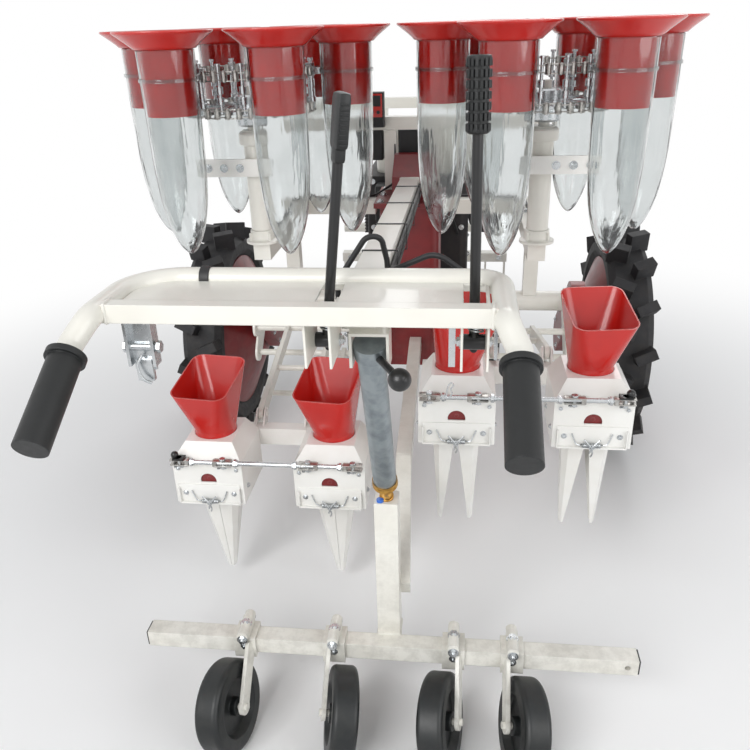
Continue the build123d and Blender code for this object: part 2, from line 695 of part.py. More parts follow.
def planter_base(side):
    """The height of the jaw tips of one pair of planters, low on the left and high on the right."""
    return PLANTER_LOW_Z + (PLANTER_LIFT if side > 0 else 0.0)


def jaw_pivot(side, x, hand):
    """The pin of one jaw, along Y, in the box above it."""
    z = planter_base(side) + JAW_LENGTH + 6
    return x + hand * (JAW_TOP_WIDTH - 9), PLANTER_Y, z


def jaw_form(inset):
    """Half of a duck-bill as a solid, its tip at Z = 0."""
    w = JAW_TOP_WIDTH
    d = JAW_TOP_DEPTH / 2
    t = JAW_TIP
    top = Polygon((0, -d + inset), (w * 0.72, -d + inset), (w - inset, -d + 16),
                  (w - inset, d - 16), (w * 0.72, d - inset), (0, d - inset), align=None)
    thin = inset * 0.6
    low = Polygon((0, -t + thin), (t * 0.5, -t + thin), (t - thin, -t * 0.4),
                  (t - thin, t * 0.4), (t * 0.5, t - thin), (0, t - thin), align=None)
    return loft([Pos(0, 0, JAW_LENGTH) * top, low])


def jaw(side, x, hand):
    """One half of a duck-bill: a thin pointed shell, open towards the other half."""
    z0 = planter_base(side)
    z1 = z0 + JAW_LENGTH
    d = JAW_TOP_DEPTH
    shell = jaw_form(0) - Pos(-0.01, 0, 0) * jaw_form(JAW_WALL)
    shell = Pos(FACE_GAP, 0, z0) * shell
    px, py, pz = jaw_pivot(side, 0, 1)
    for flank in (-1, 1):
        y = flank * (d / 2 - 1.5)
        ear = block(px - 9, px + 7, y - 1.5, y + 1.5, z1 - 22, pz)
        ear = ear + rod((px, y - 1.5, pz), (px, y + 1.5, pz), 9)
        shell = shell + ear
    shell = shell - rod((px, -d, pz), (px, d, pz), 5 + RUNNING_GAP)
    shell = Pos(0, PLANTER_Y, 0) * shell
    if hand < 0:
        shell = mirror(shell, Plane.YZ)
    shell = Pos(x, 0, 0) * shell
    if side > 0:
        axis = Axis(jaw_pivot(side, x, hand), (0, 1, 0))
        shell = shell.rotate(axis, -hand * JAW_OPEN_DEG)
    return shell


def planter_frame(side):
    """The sheet boxes of one pair, the bar that joins them and the ears of the lift arms."""
    z0 = planter_base(side) + JAW_LENGTH - 14
    z1 = z0 + BOX_HEIGHT
    half = BOX_WIDTH / 2
    y0 = PLANTER_Y - BOX_DEPTH / 2
    y1 = PLANTER_Y + BOX_DEPTH / 2
    xs = PLANTER_ROWS[side]
    frame = None
    for x in xs:
        walls = block(x - half, x + half, y0, y1, z0, z1)
        walls = walls - block(x - half + SHEET, x + half - SHEET, y0 + SHEET, y1 - SHEET, z0 - 1, z1 + 1)
        low = Rectangle(BOX_WIDTH, BOX_DEPTH)
        high = Rectangle(BOX_WIDTH * 0.68, BOX_DEPTH * 0.72)
        roof = loft([Pos(x, PLANTER_Y, z1) * low, Pos(x, PLANTER_Y + 8, z1 + ROOF_RISE) * high])
        low = Rectangle(BOX_WIDTH - SHEET * 2, BOX_DEPTH - SHEET * 2)
        high = Rectangle(BOX_WIDTH * 0.68 - SHEET * 2, BOX_DEPTH * 0.72 - SHEET * 2)
        roof = roof - loft([Pos(x, PLANTER_Y, z1) * low, Pos(x, PLANTER_Y + 8, z1 + ROOF_RISE - SHEET) * high])
        roof = roof - Pos(x, PLANTER_Y + 8, z1) * Cylinder(HOPPER_BOTTOM_R * HOPPER_SQUARENESS + FACE_GAP, 200)
        box = walls + roof
        window = Pos(x, y0, z0 + 56) * Rot(90, 0, 0) * Cylinder(17, 20)
        window = window - block(x - 40, x + 40, y0 - 40, y0 + 40, z0, z0 + 52)
        box = box - window
        for hand in (-1, 1):
            px, py, pz = jaw_pivot(side, x, hand)
            box = box + rod((px, y0, pz), (px, y1, pz), 5)
        frame = box if frame is None else frame + box
    bar_z = carrier_z(side)
    bar_half = LIFT_BAR_SECTION / 2
    bar_y = y1 + bar_half
    frame = frame + block(xs[0] - half, xs[1] + half, y1, y1 + LIFT_BAR_SECTION, bar_z - 20, bar_z + 20)
    for x in lift_arm_xs(side) + lift_link_xs(side):
        low = x in lift_arm_xs(side)
        z = bar_z + (-LIFT_LINK_SPACING / 2 if low else LIFT_LINK_SPACING / 2)
        for flank in (-1, 1):
            xe = x + flank * (LIFT_ARM_WIDTH / 2 + 4)
            ear = racetrack(y1 + bar_half, bar_z, LIFT_END_Y, z, 15, 13, xe - 2, xe + 2)
            frame = frame + ear
        frame = frame + pin_hole(LIFT_END_Y, z, LIFT_PIN_R, x - LIFT_ARM_WIDTH / 2 - 8, x + LIFT_ARM_WIDTH / 2 + 8)
    return frame


LIFT_END_Y = LIFT_PIVOT_Y - LIFT_ARM_LENGTH * cos(radians(LIFT_SWING))


def carrier_z(side):
    """The height of the middle of the bar that joins a pair."""
    return LIFT_MID_Z + side * PLANTER_LIFT / 2


def lift_arm_xs(side):
    """The places of the two lower arms of a pair."""
    xs = PLANTER_ROWS[side]
    return (xs[0] + LIFT_ARM_INSET, xs[1] - LIFT_ARM_INSET)


def lift_link_xs(side):
    """The places of the two upper links of a pair."""
    xs = PLANTER_ROWS[side]
    return (xs[0] + LIFT_LINK_INSET, xs[1] - LIFT_LINK_INSET)


def lift_bars(side, xs, low):
    """The two arms or the two links of a pair, from the chassis to the bar."""
    shift = -LIFT_LINK_SPACING / 2 if low else LIFT_LINK_SPACING / 2
    y0, z0 = LIFT_PIVOT_Y, LIFT_MID_Z + shift
    y1, z1 = LIFT_END_Y, carrier_z(side) + shift
    bars = []
    for x in xs:
        half = LIFT_ARM_WIDTH / 2
        bar = racetrack(y0, z0, y1, z1, 15, 15, x - half, x + half)
        for y, z in ((y0, z0), (y1, z1)):
            bar = bar - pin_hole(y, z, LIFT_PIN_R + RUNNING_GAP, x - 20, x + 20)
        bars.append(bar)
    tie_y = y0 + (y1 - y0) * 0.5
    tie_z = z0 + (z1 - z0) * 0.5
    tie = rod((xs[0], tie_y, tie_z), (xs[1], tie_y, tie_z), 7)
    return bars[0] + bars[1] + tie


def hopper_form(side, inset):
    """A hopper as a solid: the round foot and the square mouth above it."""
    radius = HOPPER_BOTTOM_R - inset
    foot = RectangleRounded(radius * 2, radius * 2, radius * 0.96)
    mouth = RectangleRounded(HOPPER_WIDTH - inset * 2, HOPPER_DEPTH - inset * 2, HOPPER_CORNER_R - inset)
    turn = Rot(0, 0, side * HOPPER_TOE) * Rot(HOPPER_TILT, 0, 0)
    mouth = Pos(side * HOPPER_LEAN, HOPPER_FORWARD, HOPPER_HEIGHT) * turn * mouth
    knee = Pos(0, 0, HOPPER_FOOT) * foot
    return loft([knee, mouth]) + loft([foot, knee])


def hoppers(side):
    """The red hoppers of one pair, their mouths tilted towards the operator."""
    z0 = planter_base(side) + JAW_LENGTH - 14 + BOX_HEIGHT + ROOF_RISE - 12
    y0 = PLANTER_Y + 8
    pieces = []
    for x in PLANTER_ROWS[side]:
        place = Pos(x, y0, z0)
        pieces.append(place * (hopper_form(side, 0) - hopper_form(side, HOPPER_WALL)))
    return group(pieces)


def tie_rods(side):
    """The rod with clevises that opens the jaws of a pair, and its cranks."""
    z = planter_base(side) + JAW_LENGTH - 14 + BOX_HEIGHT + 8
    y = PLANTER_Y - BOX_DEPTH / 2 - 12
    xs = PLANTER_ROWS[side]
    start = xs[0] - 52
    end = xs[1] + 52
    rods = rod((start, y, z), (end, y, z), 5)
    for x in (start, xs[0] + 40, xs[1] - 40, end):
        rods = rods + block(x - 22, x + 22, y - 8, y + 8, z - 7, z + 7)
        rods = rods + rod((x, y, z - 14), (x, y, z + 12), 5)
        rods = rods + block(x - 6, x + 6, y, y + 12, z - 14, z - 8)
    return rods


# Handlebar and controls

def handlebar():
    """The bent tube, the crossbar in front of the operator and the bracket on the beam."""
    half = HANDLE_WIDTH / 2
    left = HANDLE_X - half
    right = HANDLE_X + half
    grip_start_y = GRIP_END_Y + (GRIP_LENGTH ** 2 - GRIP_DROP ** 2) ** 0.5
    bend_y = HANDLE_REAR_Y - 20
    slope = GRIP_DROP / (grip_start_y - GRIP_END_Y)
    knee_y = grip_start_y + 14
    knee_z = GRIP_START_Z + 14 * slope
    end_y = GRIP_END_Y + 4
    end_z = GRIP_START_Z - GRIP_DROP + 4 * slope
    splay = GRIP_SPLAY
    points = [(left - splay, end_y, end_z), (left - splay, knee_y, knee_z),
              (left, bend_y, HANDLE_Z), (left, HANDLE_FRONT_Y, HANDLE_Z), (right, HANDLE_FRONT_Y, HANDLE_Z),
              (right, bend_y, HANDLE_Z), (right + splay, knee_y, knee_z), (right + splay, end_y, end_z)]
    bends = (20, 30, HANDLE_LEFT_BEND, HANDLE_RIGHT_BEND, 30, 20)
    tube = bent_tube(points, bends, HANDLE_TUBE_R)
    bar = block(left, right, HANDLE_REAR_Y - CROSSBAR_WIDTH / 2, HANDLE_REAR_Y + CROSSBAR_WIDTH / 2,
                HANDLE_Z - CROSSBAR_HEIGHT / 2, HANDLE_Z + CROSSBAR_HEIGHT / 2)
    frame = tube + bar
    for lever in LEVERS:
        for x in (lever[0] - LEVER_PIVOT_HALF - PLATE_SHEET, lever[0] + LEVER_PIVOT_HALF):
            frame = frame + block(x, x + PLATE_SHEET, HANDLE_REAR_Y, lever[1] + 12,
                                  HANDLE_Z - LEVER_DROP - 12, HANDLE_Z - CROSSBAR_HEIGHT / 2 + 6)
    return frame


def handle_brackets():
    """The folding bracket below the left end of the crossbar and the flat bar below the right end."""
    top = HANDLE_Z - CROSSBAR_HEIGHT / 2
    plates = []
    for x0, x1, depth, y0, y1 in BRACKETS:
        plates.append(block(x0, x1, HANDLE_REAR_Y + y0, HANDLE_REAR_Y + y1, top - depth, top))
    return group(plates)


def handle_plate():
    """The sheet between the two tubes, with a slot for each lever."""
    half = HANDLE_WIDTH / 2 - HANDLE_TUBE_R - 2
    y0 = HANDLE_REAR_Y + CROSSBAR_WIDTH / 2
    y1 = HANDLE_FRONT_Y - HANDLE_TUBE_R
    plate = block(HANDLE_X - half, HANDLE_X + half, y0, HANDLE_FRONT_Y, HANDLE_Z - 2, HANDLE_Z - 2 + PLATE_SHEET)
    plate = plate - handlebar()
    for lever in LEVERS:
        base, top = lever_line(lever)
        x = base.X + (top.X - base.X) * (HANDLE_Z - base.Z) / (top.Z - base.Z)
        plate = plate - block(x - 14, x + 14, y0 + 8, y1 - 4, HANDLE_Z - 20, HANDLE_Z + 20)
    return plate.solids().sort_by(SortBy.VOLUME)[-1]


def hand_grips():
    """The two rubber grips at the ends of the handlebar."""
    half = HANDLE_WIDTH / 2 + GRIP_SPLAY
    grips = []
    for side in (-1, 1):
        x = HANDLE_X + side * half
        end = Vector(x, GRIP_END_Y, GRIP_START_Z - GRIP_DROP)
        start_y = GRIP_END_Y + (GRIP_LENGTH ** 2 - GRIP_DROP ** 2) ** 0.5
        start = Vector(x, start_y, GRIP_START_Z)
        along = (end - start).normalized()
        grip = rod(start, (end + along * 6), GRIP_R)
        flange = rod(start, (start + along * 8), GRIP_R + 4)
        grip = grip + flange
        core = rod((start - along * 5), (end + along * 1), HANDLE_TUBE_R)
        grips.append(grip - core)
    return group(grips)


def lever_line(lever):
    """The two ends of a lever's stem."""
    base = Vector(lever[0], lever[1], HANDLE_Z - LEVER_DROP)
    top = Vector(lever[2], lever[3], lever[4])
    return base, top


def lever_stems():
    """The black stems of the two levers and the pivot that each turns on."""
    stems = []
    for lever in LEVERS:
        base, top = lever_line(lever)
        along = (top - base).normalized()
        stem = rod(base, (top - along * 12), LEVER_R)
        stem = stem + pin_hole(lever[1], HANDLE_Z - LEVER_DROP, 10, lever[0] - LEVER_PIVOT_HALF,
                               lever[0] + LEVER_PIVOT_HALF)
        stems.append(stem)
    return group(stems)


def lever_grips():
    """The ribbed grips at the top of the levers."""
    grips = []
    for lever in LEVERS:
        base, top = lever_line(lever)
        along = (top - base).normalized()
        bottom = top - along * lever[5]
        grip = rod(bottom, top, LEVER_GRIP_R)
        core = rod((bottom - along * 5), (top - along * 12), LEVER_R)
        grips.append(grip - core)
    return group(grips)


# Depth screw and press wheels

def screw_line():
    """The bottom and the top of the depth screw."""
    bottom = Vector(SCREW_X, POST_Y, POST_TOP_Z)
    top = Vector(SCREW_X, SCREW_TOP_Y, SCREW_TOP_Z)
    return bottom, top


def press_post_form():
    """The square post of the press wheels, before anything is cut from it."""
    half = POST_SECTION / 2
    bar = PRESS_BAR_SECTION / 2
    return block(SCREW_X - half, SCREW_X + half, POST_Y - half, POST_Y + half, PRESS_BAR_Z - bar, POST_TOP_Z)


def press_bar():
    """The square bar that carries the press wheels, with a pin hole near its right end."""
    bar = PRESS_BAR_SECTION / 2
    tool_bar = block(PRESS_BAR_LEFT, PRESS_BAR_RIGHT, PRESS_BAR_Y - bar, PRESS_BAR_Y + bar,
                     PRESS_BAR_Z - bar, PRESS_BAR_Z + bar)
    return tool_bar - rod((PRESS_BAR_RIGHT - PRESS_HOLE_INSET, PRESS_BAR_Y - bar * 2, PRESS_BAR_Z),
                          (PRESS_BAR_RIGHT - PRESS_HOLE_INSET, PRESS_BAR_Y + bar * 2, PRESS_BAR_Z),
                          PRESS_HOLE_R)


def press_post():
    """The post between the trailing arm and the press wheel bar, bored for the depth screw."""
    bottom, top = screw_line()
    along = (top - bottom).normalized()
    post = press_post_form() - press_bar() - rod(bottom - along * 30, bottom + along * 60, SCREW_ROD_R)
    return post.solids().sort_by(SortBy.VOLUME)[-1]


def trailing_arm():
    """The arm in three runs from the gearbox back to the post."""
    gearbox_face = CROSS_TUBE_Y - GEARBOX_LENGTH / 2 + 45
    runs = [(SCREW_X, gearbox_face, TRAIL_Z), (SCREW_X, gearbox_face - 30, TRAIL_Z),
            (SCREW_X + TRAIL_SHIFT * 0.4, TRAIL_KNEE_Y, TRAIL_KNEE_Z),
            (SCREW_X + TRAIL_SHIFT, POST_Y + 14, TRAIL_LOW_Z)]
    arm = None
    for start, end in zip(runs, runs[1:]):
        run = beam(start, end, TRAIL_WIDTH, TRAIL_HEIGHT)
        arm = run if arm is None else arm + run
    for knee in runs[1:-1]:
        arm = arm + pin_hole(knee[1], knee[2], TRAIL_HEIGHT / 2, knee[0] - TRAIL_WIDTH / 2,
                             knee[0] + TRAIL_WIDTH / 2)
    bottom, top = screw_line()
    along = (top - bottom).normalized()
    arm = arm - press_post_form() - rod(bottom - along * 30, bottom + along * 60, SCREW_ROD_R)
    return arm.solids().sort_by(SortBy.VOLUME)[-1]


def press_axis(side):
    """The direction of a press wheel's axle, towards its arm."""
    toe = radians(PRESS_TOE)
    camber = radians(PRESS_CAMBER)
    return Vector(side * cos(toe) * cos(camber), -sin(toe) * cos(camber), sin(camber))


def press_centre(wheel_x):
    """The middle of a press wheel that stands on the ground with its camber."""
    camber = radians(PRESS_CAMBER)
    height = (PRESS_R - PRESS_EDGE) * cos(camber) + (PRESS_WIDTH / 2 - PRESS_EDGE) * sin(camber) + PRESS_EDGE
    return Vector(wheel_x, PRESS_AXLE_Y, height)


def press_arms():
    """The saddle clamp, the flat arm and the axle of each press wheel."""
    bar = PRESS_BAR_SECTION / 2
    outer = bar + 6
    tool_bar = block(PRESS_BAR_LEFT, PRESS_BAR_RIGHT, PRESS_BAR_Y - bar - FACE_GAP, PRESS_BAR_Y + bar + FACE_GAP,
                     PRESS_BAR_Z - bar - FACE_GAP, PRESS_BAR_Z + bar + FACE_GAP)
    arms = []
    for name, wheel_x, side in PRESS_WHEELS:
        axis = press_axis(side)
        centre = press_centre(wheel_x)
        low = centre + axis * (PRESS_WIDTH / 2 + 5 + PRESS_ARM_SHEET / 2)
        top_y = PRESS_BAR_Y - outer - 4
        top_z = PRESS_BAR_Z
        drift = axis.Y * (low.Y - top_y) + axis.Z * (low.Z - top_z)
        top = Vector(low.X + drift / axis.X, top_y, top_z)
        clamp_x = top.X - side * 10
        clamp = block(clamp_x - 20, clamp_x + 20, PRESS_BAR_Y - outer, PRESS_BAR_Y + outer,
                      PRESS_BAR_Z - outer, PRESS_BAR_Z + outer)
        lug = block(clamp_x - 10, clamp_x + 10, PRESS_BAR_Y - outer, PRESS_BAR_Y + outer,
                    PRESS_BAR_Z + outer - 1, PRESS_BAR_Z + outer + 14)
        bolt = rod((clamp_x, PRESS_BAR_Y - outer - 8, PRESS_BAR_Z + outer + 10),
                   (clamp_x, PRESS_BAR_Y + outer + 8, PRESS_BAR_Z + outer + 10), 10)
        line = (low - top).normalized()
        place = Plane(origin=top - line * 12, x_dir=axis.cross(line), z_dir=line)
        flat = extrude(place * Rectangle(24, PRESS_ARM_SHEET), (low - top).length + 12)
        eye = rod(low - axis * (PRESS_ARM_SHEET / 2), low + axis * (PRESS_ARM_SHEET / 2), 14)
        axle = rod(low + axis * 8, centre - axis * (PRESS_WIDTH / 2 - 6), PRESS_AXLE_R)
        arms.append((clamp + lug + bolt + flat + eye + axle) - tool_bar)
    return group(arms)


def press_wheel(wheel_x, side):
    """A smooth rubber wheel with a dished face."""
    wheel = Cylinder(PRESS_R, PRESS_WIDTH)
    wheel = fillet(wheel.edges().filter_by(GeomType.CIRCLE), PRESS_EDGE)
    dish = Pos(0, 0, PRESS_WIDTH / 2 + 4) * Cone(PRESS_R - 34, PRESS_R - 14, 34)
    wheel = wheel - dish
    wheel = wheel + Cylinder(16, PRESS_WIDTH - 2)
    wheel = wheel - Cylinder(PRESS_AXLE_R + RUNNING_GAP, PRESS_WIDTH * 2)
    place = Plane(origin=press_centre(wheel_x), z_dir=press_axis(side))
    return place.location * wheel


def depth_screw():
    """The threaded rod on the post and the tube that it runs in."""
    bottom, top = screw_line()
    along = (top - bottom).normalized()
    tube_start = bottom + along * (SCREW_TUBE_BOTTOM_Z - POST_TOP_Z)
    tube = rod(tube_start, top, SCREW_TUBE_R)
    thread = rod(bottom - along * 30, tube_start + along * 5, SCREW_ROD_R)
    return tube + thread + rod(top - along * 2, top + along * SCREW_COLLAR, SCREW_TUBE_R + 3)


def screw_knobs():
    """The crank on top of the screw, with its round knob."""
    bottom, top = screw_line()
    along = (top - bottom).normalized()
    start = top + along * 8
    side = Vector(0.62, -0.78, -0.25).normalized()
    end = start + side * 70
    crank = rod(start, end, 5) + Pos(end) * Sphere(15)
    return crank - rod(top - along * 2, top + along * SCREW_COLLAR, SCREW_TUBE_R + 3)


def build_all():
    """Writes every piece."""
    write(main_beam(), "main_beam")
    write(chassis_frame(), "chassis_frame")
    write(gearbox(), "gearbox")
    write(drive_axles(), "drive_axles")
    write(guide_forks(), "guide_forks")
    write(bumper(), "bumper")
    write(engine(), "engine")
    write(fuel_tank(), "fuel_tank")
    write(silencer(), "silencer")
    write(control_boxes(), "control_boxes")
    write(control_cables(), "control_cables")
    write(handle_brackets(), "handle_brackets")
    write(seedling_rack(), "seedling_rack")
    write(carousel_stand(), "carousel_stand")
    write(handlebar(), "handlebar")
    write(handle_plate(), "handle_plate")
    write(hand_grips(), "hand_grips")
    write(lever_stems(), "lever_stems")
    write(lever_grips(), "lever_grips")
    write(trailing_arm(), "trailing_arm")
    write(press_post(), "press_post")
    write(press_bar(), "press_bar")
    write(press_arms(), "press_arms")
    write(depth_screw(), "depth_screw")
    write(screw_knobs(), "screw_knobs")
    for name, wheel_x, side in PRESS_WHEELS:
        write(press_wheel(wheel_x, side), name)
    for side, word in ((-1, "left"), (1, "right")):
        write(drive_tyre(side), f"drive_tyre_{word}")
        write(drive_rim(side), f"drive_rim_{word}")
        write(guide_wheel(side), f"guide_wheel_{word}")
        funnels, shells = carousel_cups(side)
        write(funnels, f"cup_funnels_{word}")
        write(shells, f"clear_cups_{word}")
        write(carousel_wheel(side), f"carousel_wheel_{word}")
        write(planter_frame(side), f"planter_frame_{word}")
        write(hoppers(side), f"hoppers_{word}")
        write(tie_rods(side), f"tie_rods_{word}")
        write(lift_bars(side, lift_arm_xs(side), True), f"lift_arms_{word}")
        write(lift_bars(side, lift_link_xs(side), False), f"lift_links_{word}")
        for row, x in zip(("outer", "inner") if side < 0 else ("inner", "outer"), PLANTER_ROWS[side]):
            for hand, label in ((-1, "a"), (1, "b")):
                write(jaw(side, x, hand), f"jaw_{word}_{row}_{label}")


build_all()
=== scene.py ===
"""Dresses the vegetable transplanter: finishes, small parts, light and camera."""

import logging
import math
from collections.abc import Callable
from dataclasses import dataclass, field
from enum import Enum

import bmesh
import bpy
from mathutils import Matrix, Vector


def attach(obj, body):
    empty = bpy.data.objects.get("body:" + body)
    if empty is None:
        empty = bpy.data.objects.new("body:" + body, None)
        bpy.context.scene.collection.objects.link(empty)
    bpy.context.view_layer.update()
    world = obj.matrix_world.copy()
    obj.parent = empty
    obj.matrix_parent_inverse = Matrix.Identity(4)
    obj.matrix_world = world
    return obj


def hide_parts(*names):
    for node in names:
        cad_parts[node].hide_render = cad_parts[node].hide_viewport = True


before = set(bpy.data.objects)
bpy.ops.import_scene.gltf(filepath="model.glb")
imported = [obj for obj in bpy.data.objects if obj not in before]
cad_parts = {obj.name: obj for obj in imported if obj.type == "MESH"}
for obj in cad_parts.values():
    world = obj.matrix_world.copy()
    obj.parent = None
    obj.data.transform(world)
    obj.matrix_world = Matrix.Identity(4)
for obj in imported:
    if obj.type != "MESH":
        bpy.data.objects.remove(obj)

log = logging.getLogger("transplanter")

Tree = bpy.types.NodeTree
Socket = bpy.types.NodeSocket
Point = tuple[float, float, float]

MM = 0.001


def linear(code: str) -> tuple[float, float, float, float]:
    """Turns an sRGB hex colour to linear.

    Args:
        code: The colour as six hex digits after a hash.

    Returns:
        Red, green, blue and an alpha of 1.
    """
    parts = [int(code[i:i + 2], 16) / 255 for i in (1, 3, 5)]
    red, green, blue = (p / 12.92 if p <= 0.04045 else ((p + 0.055) / 1.055) ** 2.4 for p in parts)
    return red, green, blue, 1.0


def add_node(tree: Tree, kind: str, links: dict | None = None, **settings: object) -> bpy.types.Node:
    """Adds one node with its settings and links.

    Args:
        tree: The node tree.
        kind: The node's type.
        links: Input name or number to a socket, a list of sockets, or a plain value.
        **settings: The node's own properties.

    Returns:
        The new node.
    """
    made = tree.nodes.new(kind)
    for key, value in settings.items():
        setattr(made, key, value)
    for key, source in (links or {}).items():
        for one in source if isinstance(source, list) else [source]:
            if isinstance(one, Socket):
                tree.links.new(one, made.inputs[key])
            else:
                made.inputs[key].default_value = one
    return made


def scale_of(size_mm: float) -> float:
    """The noise scale whose features are about that many millimetres across on Object coordinates."""
    return 1.0 / (size_mm * MM)


@dataclass(frozen=True)
class Finish:
    """A surface finish: its colour, its gloss, its fine grain and its rounded corners."""

    name: str
    colour: str
    shade: str
    roughness: float
    metallic: float = 0.0
    patch_mm: float = 70.0
    patch_share: float = 0.35
    grain_mm: float = 1.2
    grain_depth_mm: float = 0.03
    corner_mm: float = 1.2
    edge: str = ""
    edge_share: float = 0.5
    grime: str = "#6f675a"
    grime_share: float = 0.0
    grime_top: float = 0.55

    def build(self) -> bpy.types.Material:
        """Makes the material.

        Returns:
            The finished material.
        """
        made = bpy.data.materials.new(self.name)
        made.use_nodes = True
        tree = made.node_tree
        tree.nodes.clear()
        place = add_node(tree, "ShaderNodeTexCoord").outputs["Object"]
        corner = add_node(tree, "ShaderNodeBevel", {"Radius": self.corner_mm * MM}, samples=4).outputs[0]
        colour = self.tint(tree, place)
        # the edge colour is wear on the dark finishes and a painted highlight on the pale enamels and the red
        # plastic
        if self.edge:
            colour = self.edge_wear_and_highlight(tree, colour, corner, place)
        if self.grime_share:
            colour = self.dusty(tree, colour, place)
        shader = add_node(tree, "ShaderNodeBsdfPrincipled", {
            "Base Color": colour,
            "Metallic": self.metallic,
            "Roughness": self.gloss(tree, place),
            "Normal": self.relief(tree, place, corner),
        })
        self.extras(tree, shader, place)
        add_node(tree, "ShaderNodeOutputMaterial", {"Surface": shader.outputs[0]})
        return made

    def tint(self, tree: Tree, place: Socket) -> Socket:
        """The base colour, drifting between two tones in broad patches.

        Args:
            tree: The material's tree.
            place: The Object coordinates.

        Returns:
            The colour.
        """
        patch = add_node(tree, "ShaderNodeTexNoise", {
            "Vector": place, "Scale": scale_of(self.patch_mm), "Detail": 3.0, "Roughness": 0.55})
        share = add_node(tree, "ShaderNodeMapRange", {
            "Value": patch.outputs["Fac"], "From Min": 0.4, "From Max": 0.68, "To Max": self.patch_share})
        mixed = add_node(tree, "ShaderNodeMix", {
            "Factor": share.outputs[0], "A": linear(self.colour), "B": linear(self.shade)}, data_type="RGBA")
        return mixed.outputs["Result"]

    def gloss(self, tree: Tree, place: Socket) -> Socket:
        """The roughness, a little uneven as handled surfaces are.

        Args:
            tree: The material's tree.
            place: The Object coordinates.

        Returns:
            The roughness.
        """
        smear = add_node(tree, "ShaderNodeTexNoise", {
            "Vector": place, "Scale": scale_of(self.patch_mm * 0.4), "Detail": 4.0})
        spread = add_node(tree, "ShaderNodeMapRange", {
            "Value": smear.outputs["Fac"], "To Min": self.roughness * 0.8, "To Max": self.roughness * 1.25})
        return spread.outputs[0]

    def relief(self, tree: Tree, place: Socket, corner: Socket) -> Socket:
        """The fine grain on top of rounded corners.

        Args:
            tree: The material's tree.
            place: The Object coordinates.
            corner: The normal that rounds the corners.

        Returns:
            The normal.
        """
        grain = add_node(tree, "ShaderNodeTexNoise", {
            "Vector": place, "Scale": scale_of(self.grain_mm), "Detail": 2.0})
        bump = add_node(tree, "ShaderNodeBump", {
            "Height": grain.outputs["Fac"], "Distance": self.grain_depth_mm * MM, "Normal": corner})
        return bump.outputs[0]

    def edge_wear_and_highlight(self, tree: Tree, colour: Socket, corner: Socket, place: Socket) -> Socket:
        """Another colour on the edges, broken up by a noise of 12 mm: wear on the dark finishes, and a
        painted highlight on the pale enamels and the red plastic.

        Args:
            tree: The material's tree.
            colour: The colour so far.
            corner: The normal that rounds the corners.
            place: The Object coordinates.

        Returns:
            The colour.
        """
        flat = add_node(tree, "ShaderNodeNewGeometry").outputs["Normal"]
        turn = add_node(tree, "ShaderNodeVectorMath", {0: corner, 1: flat}, operation="DOT_PRODUCT")
        sharp = add_node(tree, "ShaderNodeMapRange", {
            "Value": turn.outputs["Value"], "From Min": 0.99, "From Max": 0.8, "To Max": self.edge_share})
        broken = add_node(tree, "ShaderNodeTexNoise", {
            "Vector": place, "Scale": scale_of(12.0), "Detail": 4.0})
        share = add_node(tree, "ShaderNodeMath", {0: sharp.outputs[0], 1: broken.outputs["Fac"]},
                         operation="MULTIPLY")
        mixed = add_node(tree, "ShaderNodeMix", {
            "Factor": share.outputs[0], "A": colour, "B": linear(self.edge)}, data_type="RGBA")
        return mixed.outputs["Result"]

    def dusty(self, tree: Tree, colour: Socket, place: Socket) -> Socket:
        """Dry dust in spots of 25 mm that grows denser towards the ground.

        Args:
            tree: The material's tree.
            colour: The colour so far.
            place: The Object coordinates.

        Returns:
            The colour.
        """
        height = add_node(tree, "ShaderNodeSeparateXYZ", {"Vector": place}).outputs["Z"]
        low = add_node(tree, "ShaderNodeMapRange", {
            "Value": height, "From Min": self.grime_top, "From Max": 0.0, "To Max": self.grime_share})
        spots = add_node(tree, "ShaderNodeTexNoise", {
            "Vector": place, "Scale": scale_of(25.0), "Detail": 6.0, "Roughness": 0.65})
        dense = add_node(tree, "ShaderNodeMapRange", {
            "Value": spots.outputs["Fac"], "From Min": 0.42, "From Max": 0.62})
        share = add_node(tree, "ShaderNodeMath", {0: low.outputs[0], 1: dense.outputs[0]},
                         operation="MULTIPLY")
        mixed = add_node(tree, "ShaderNodeMix", {
            "Factor": share.outputs[0], "A": colour, "B": linear(self.grime)}, data_type="RGBA")
        return mixed.outputs["Result"]

    def extras(self, tree: Tree, shader: bpy.types.Node, place: Socket) -> None:
        """Adds what only this finish has.

        Args:
            tree: The material's tree; not used.
            shader: The principled shader.
            place: The Object coordinates; not used.
        """


@dataclass(frozen=True)
class SprayedEnamel(Finish):
    """Baked enamel on steel: a thin clear skin over the colour, with a faint orange peel."""

    skin: float = 0.35
    skin_roughness: float = 0.12

    def extras(self, tree: Tree, shader: bpy.types.Node, place: Socket) -> None:
        """Adds the clear skin."""
        shader.inputs["Coat Weight"].default_value = self.skin
        shader.inputs["Coat Roughness"].default_value = self.skin_roughness


@dataclass(frozen=True)
class MouldedPlastic(Finish):
    """Injection-moulded polypropylene: light goes a little way in, and pale rims from the edge colour are a
    painted highlight.
    """

    glow: float = 0.12
    glow_reach: tuple[float, float, float] = (0.004, 0.0012, 0.0008)
    skin: float = 0.3
    skin_roughness: float = 0.08

    def extras(self, tree: Tree, shader: bpy.types.Node, place: Socket) -> None:
        """Lets light a little way into the plastic."""
        for label, value in (("Subsurface Weight", self.glow), ("Subsurface Radius", self.glow_reach),
                             ("Subsurface Scale", 1.0), ("Coat Weight", self.skin),
                             ("Coat Roughness", self.skin_roughness)):
            shader.inputs[label].default_value = value


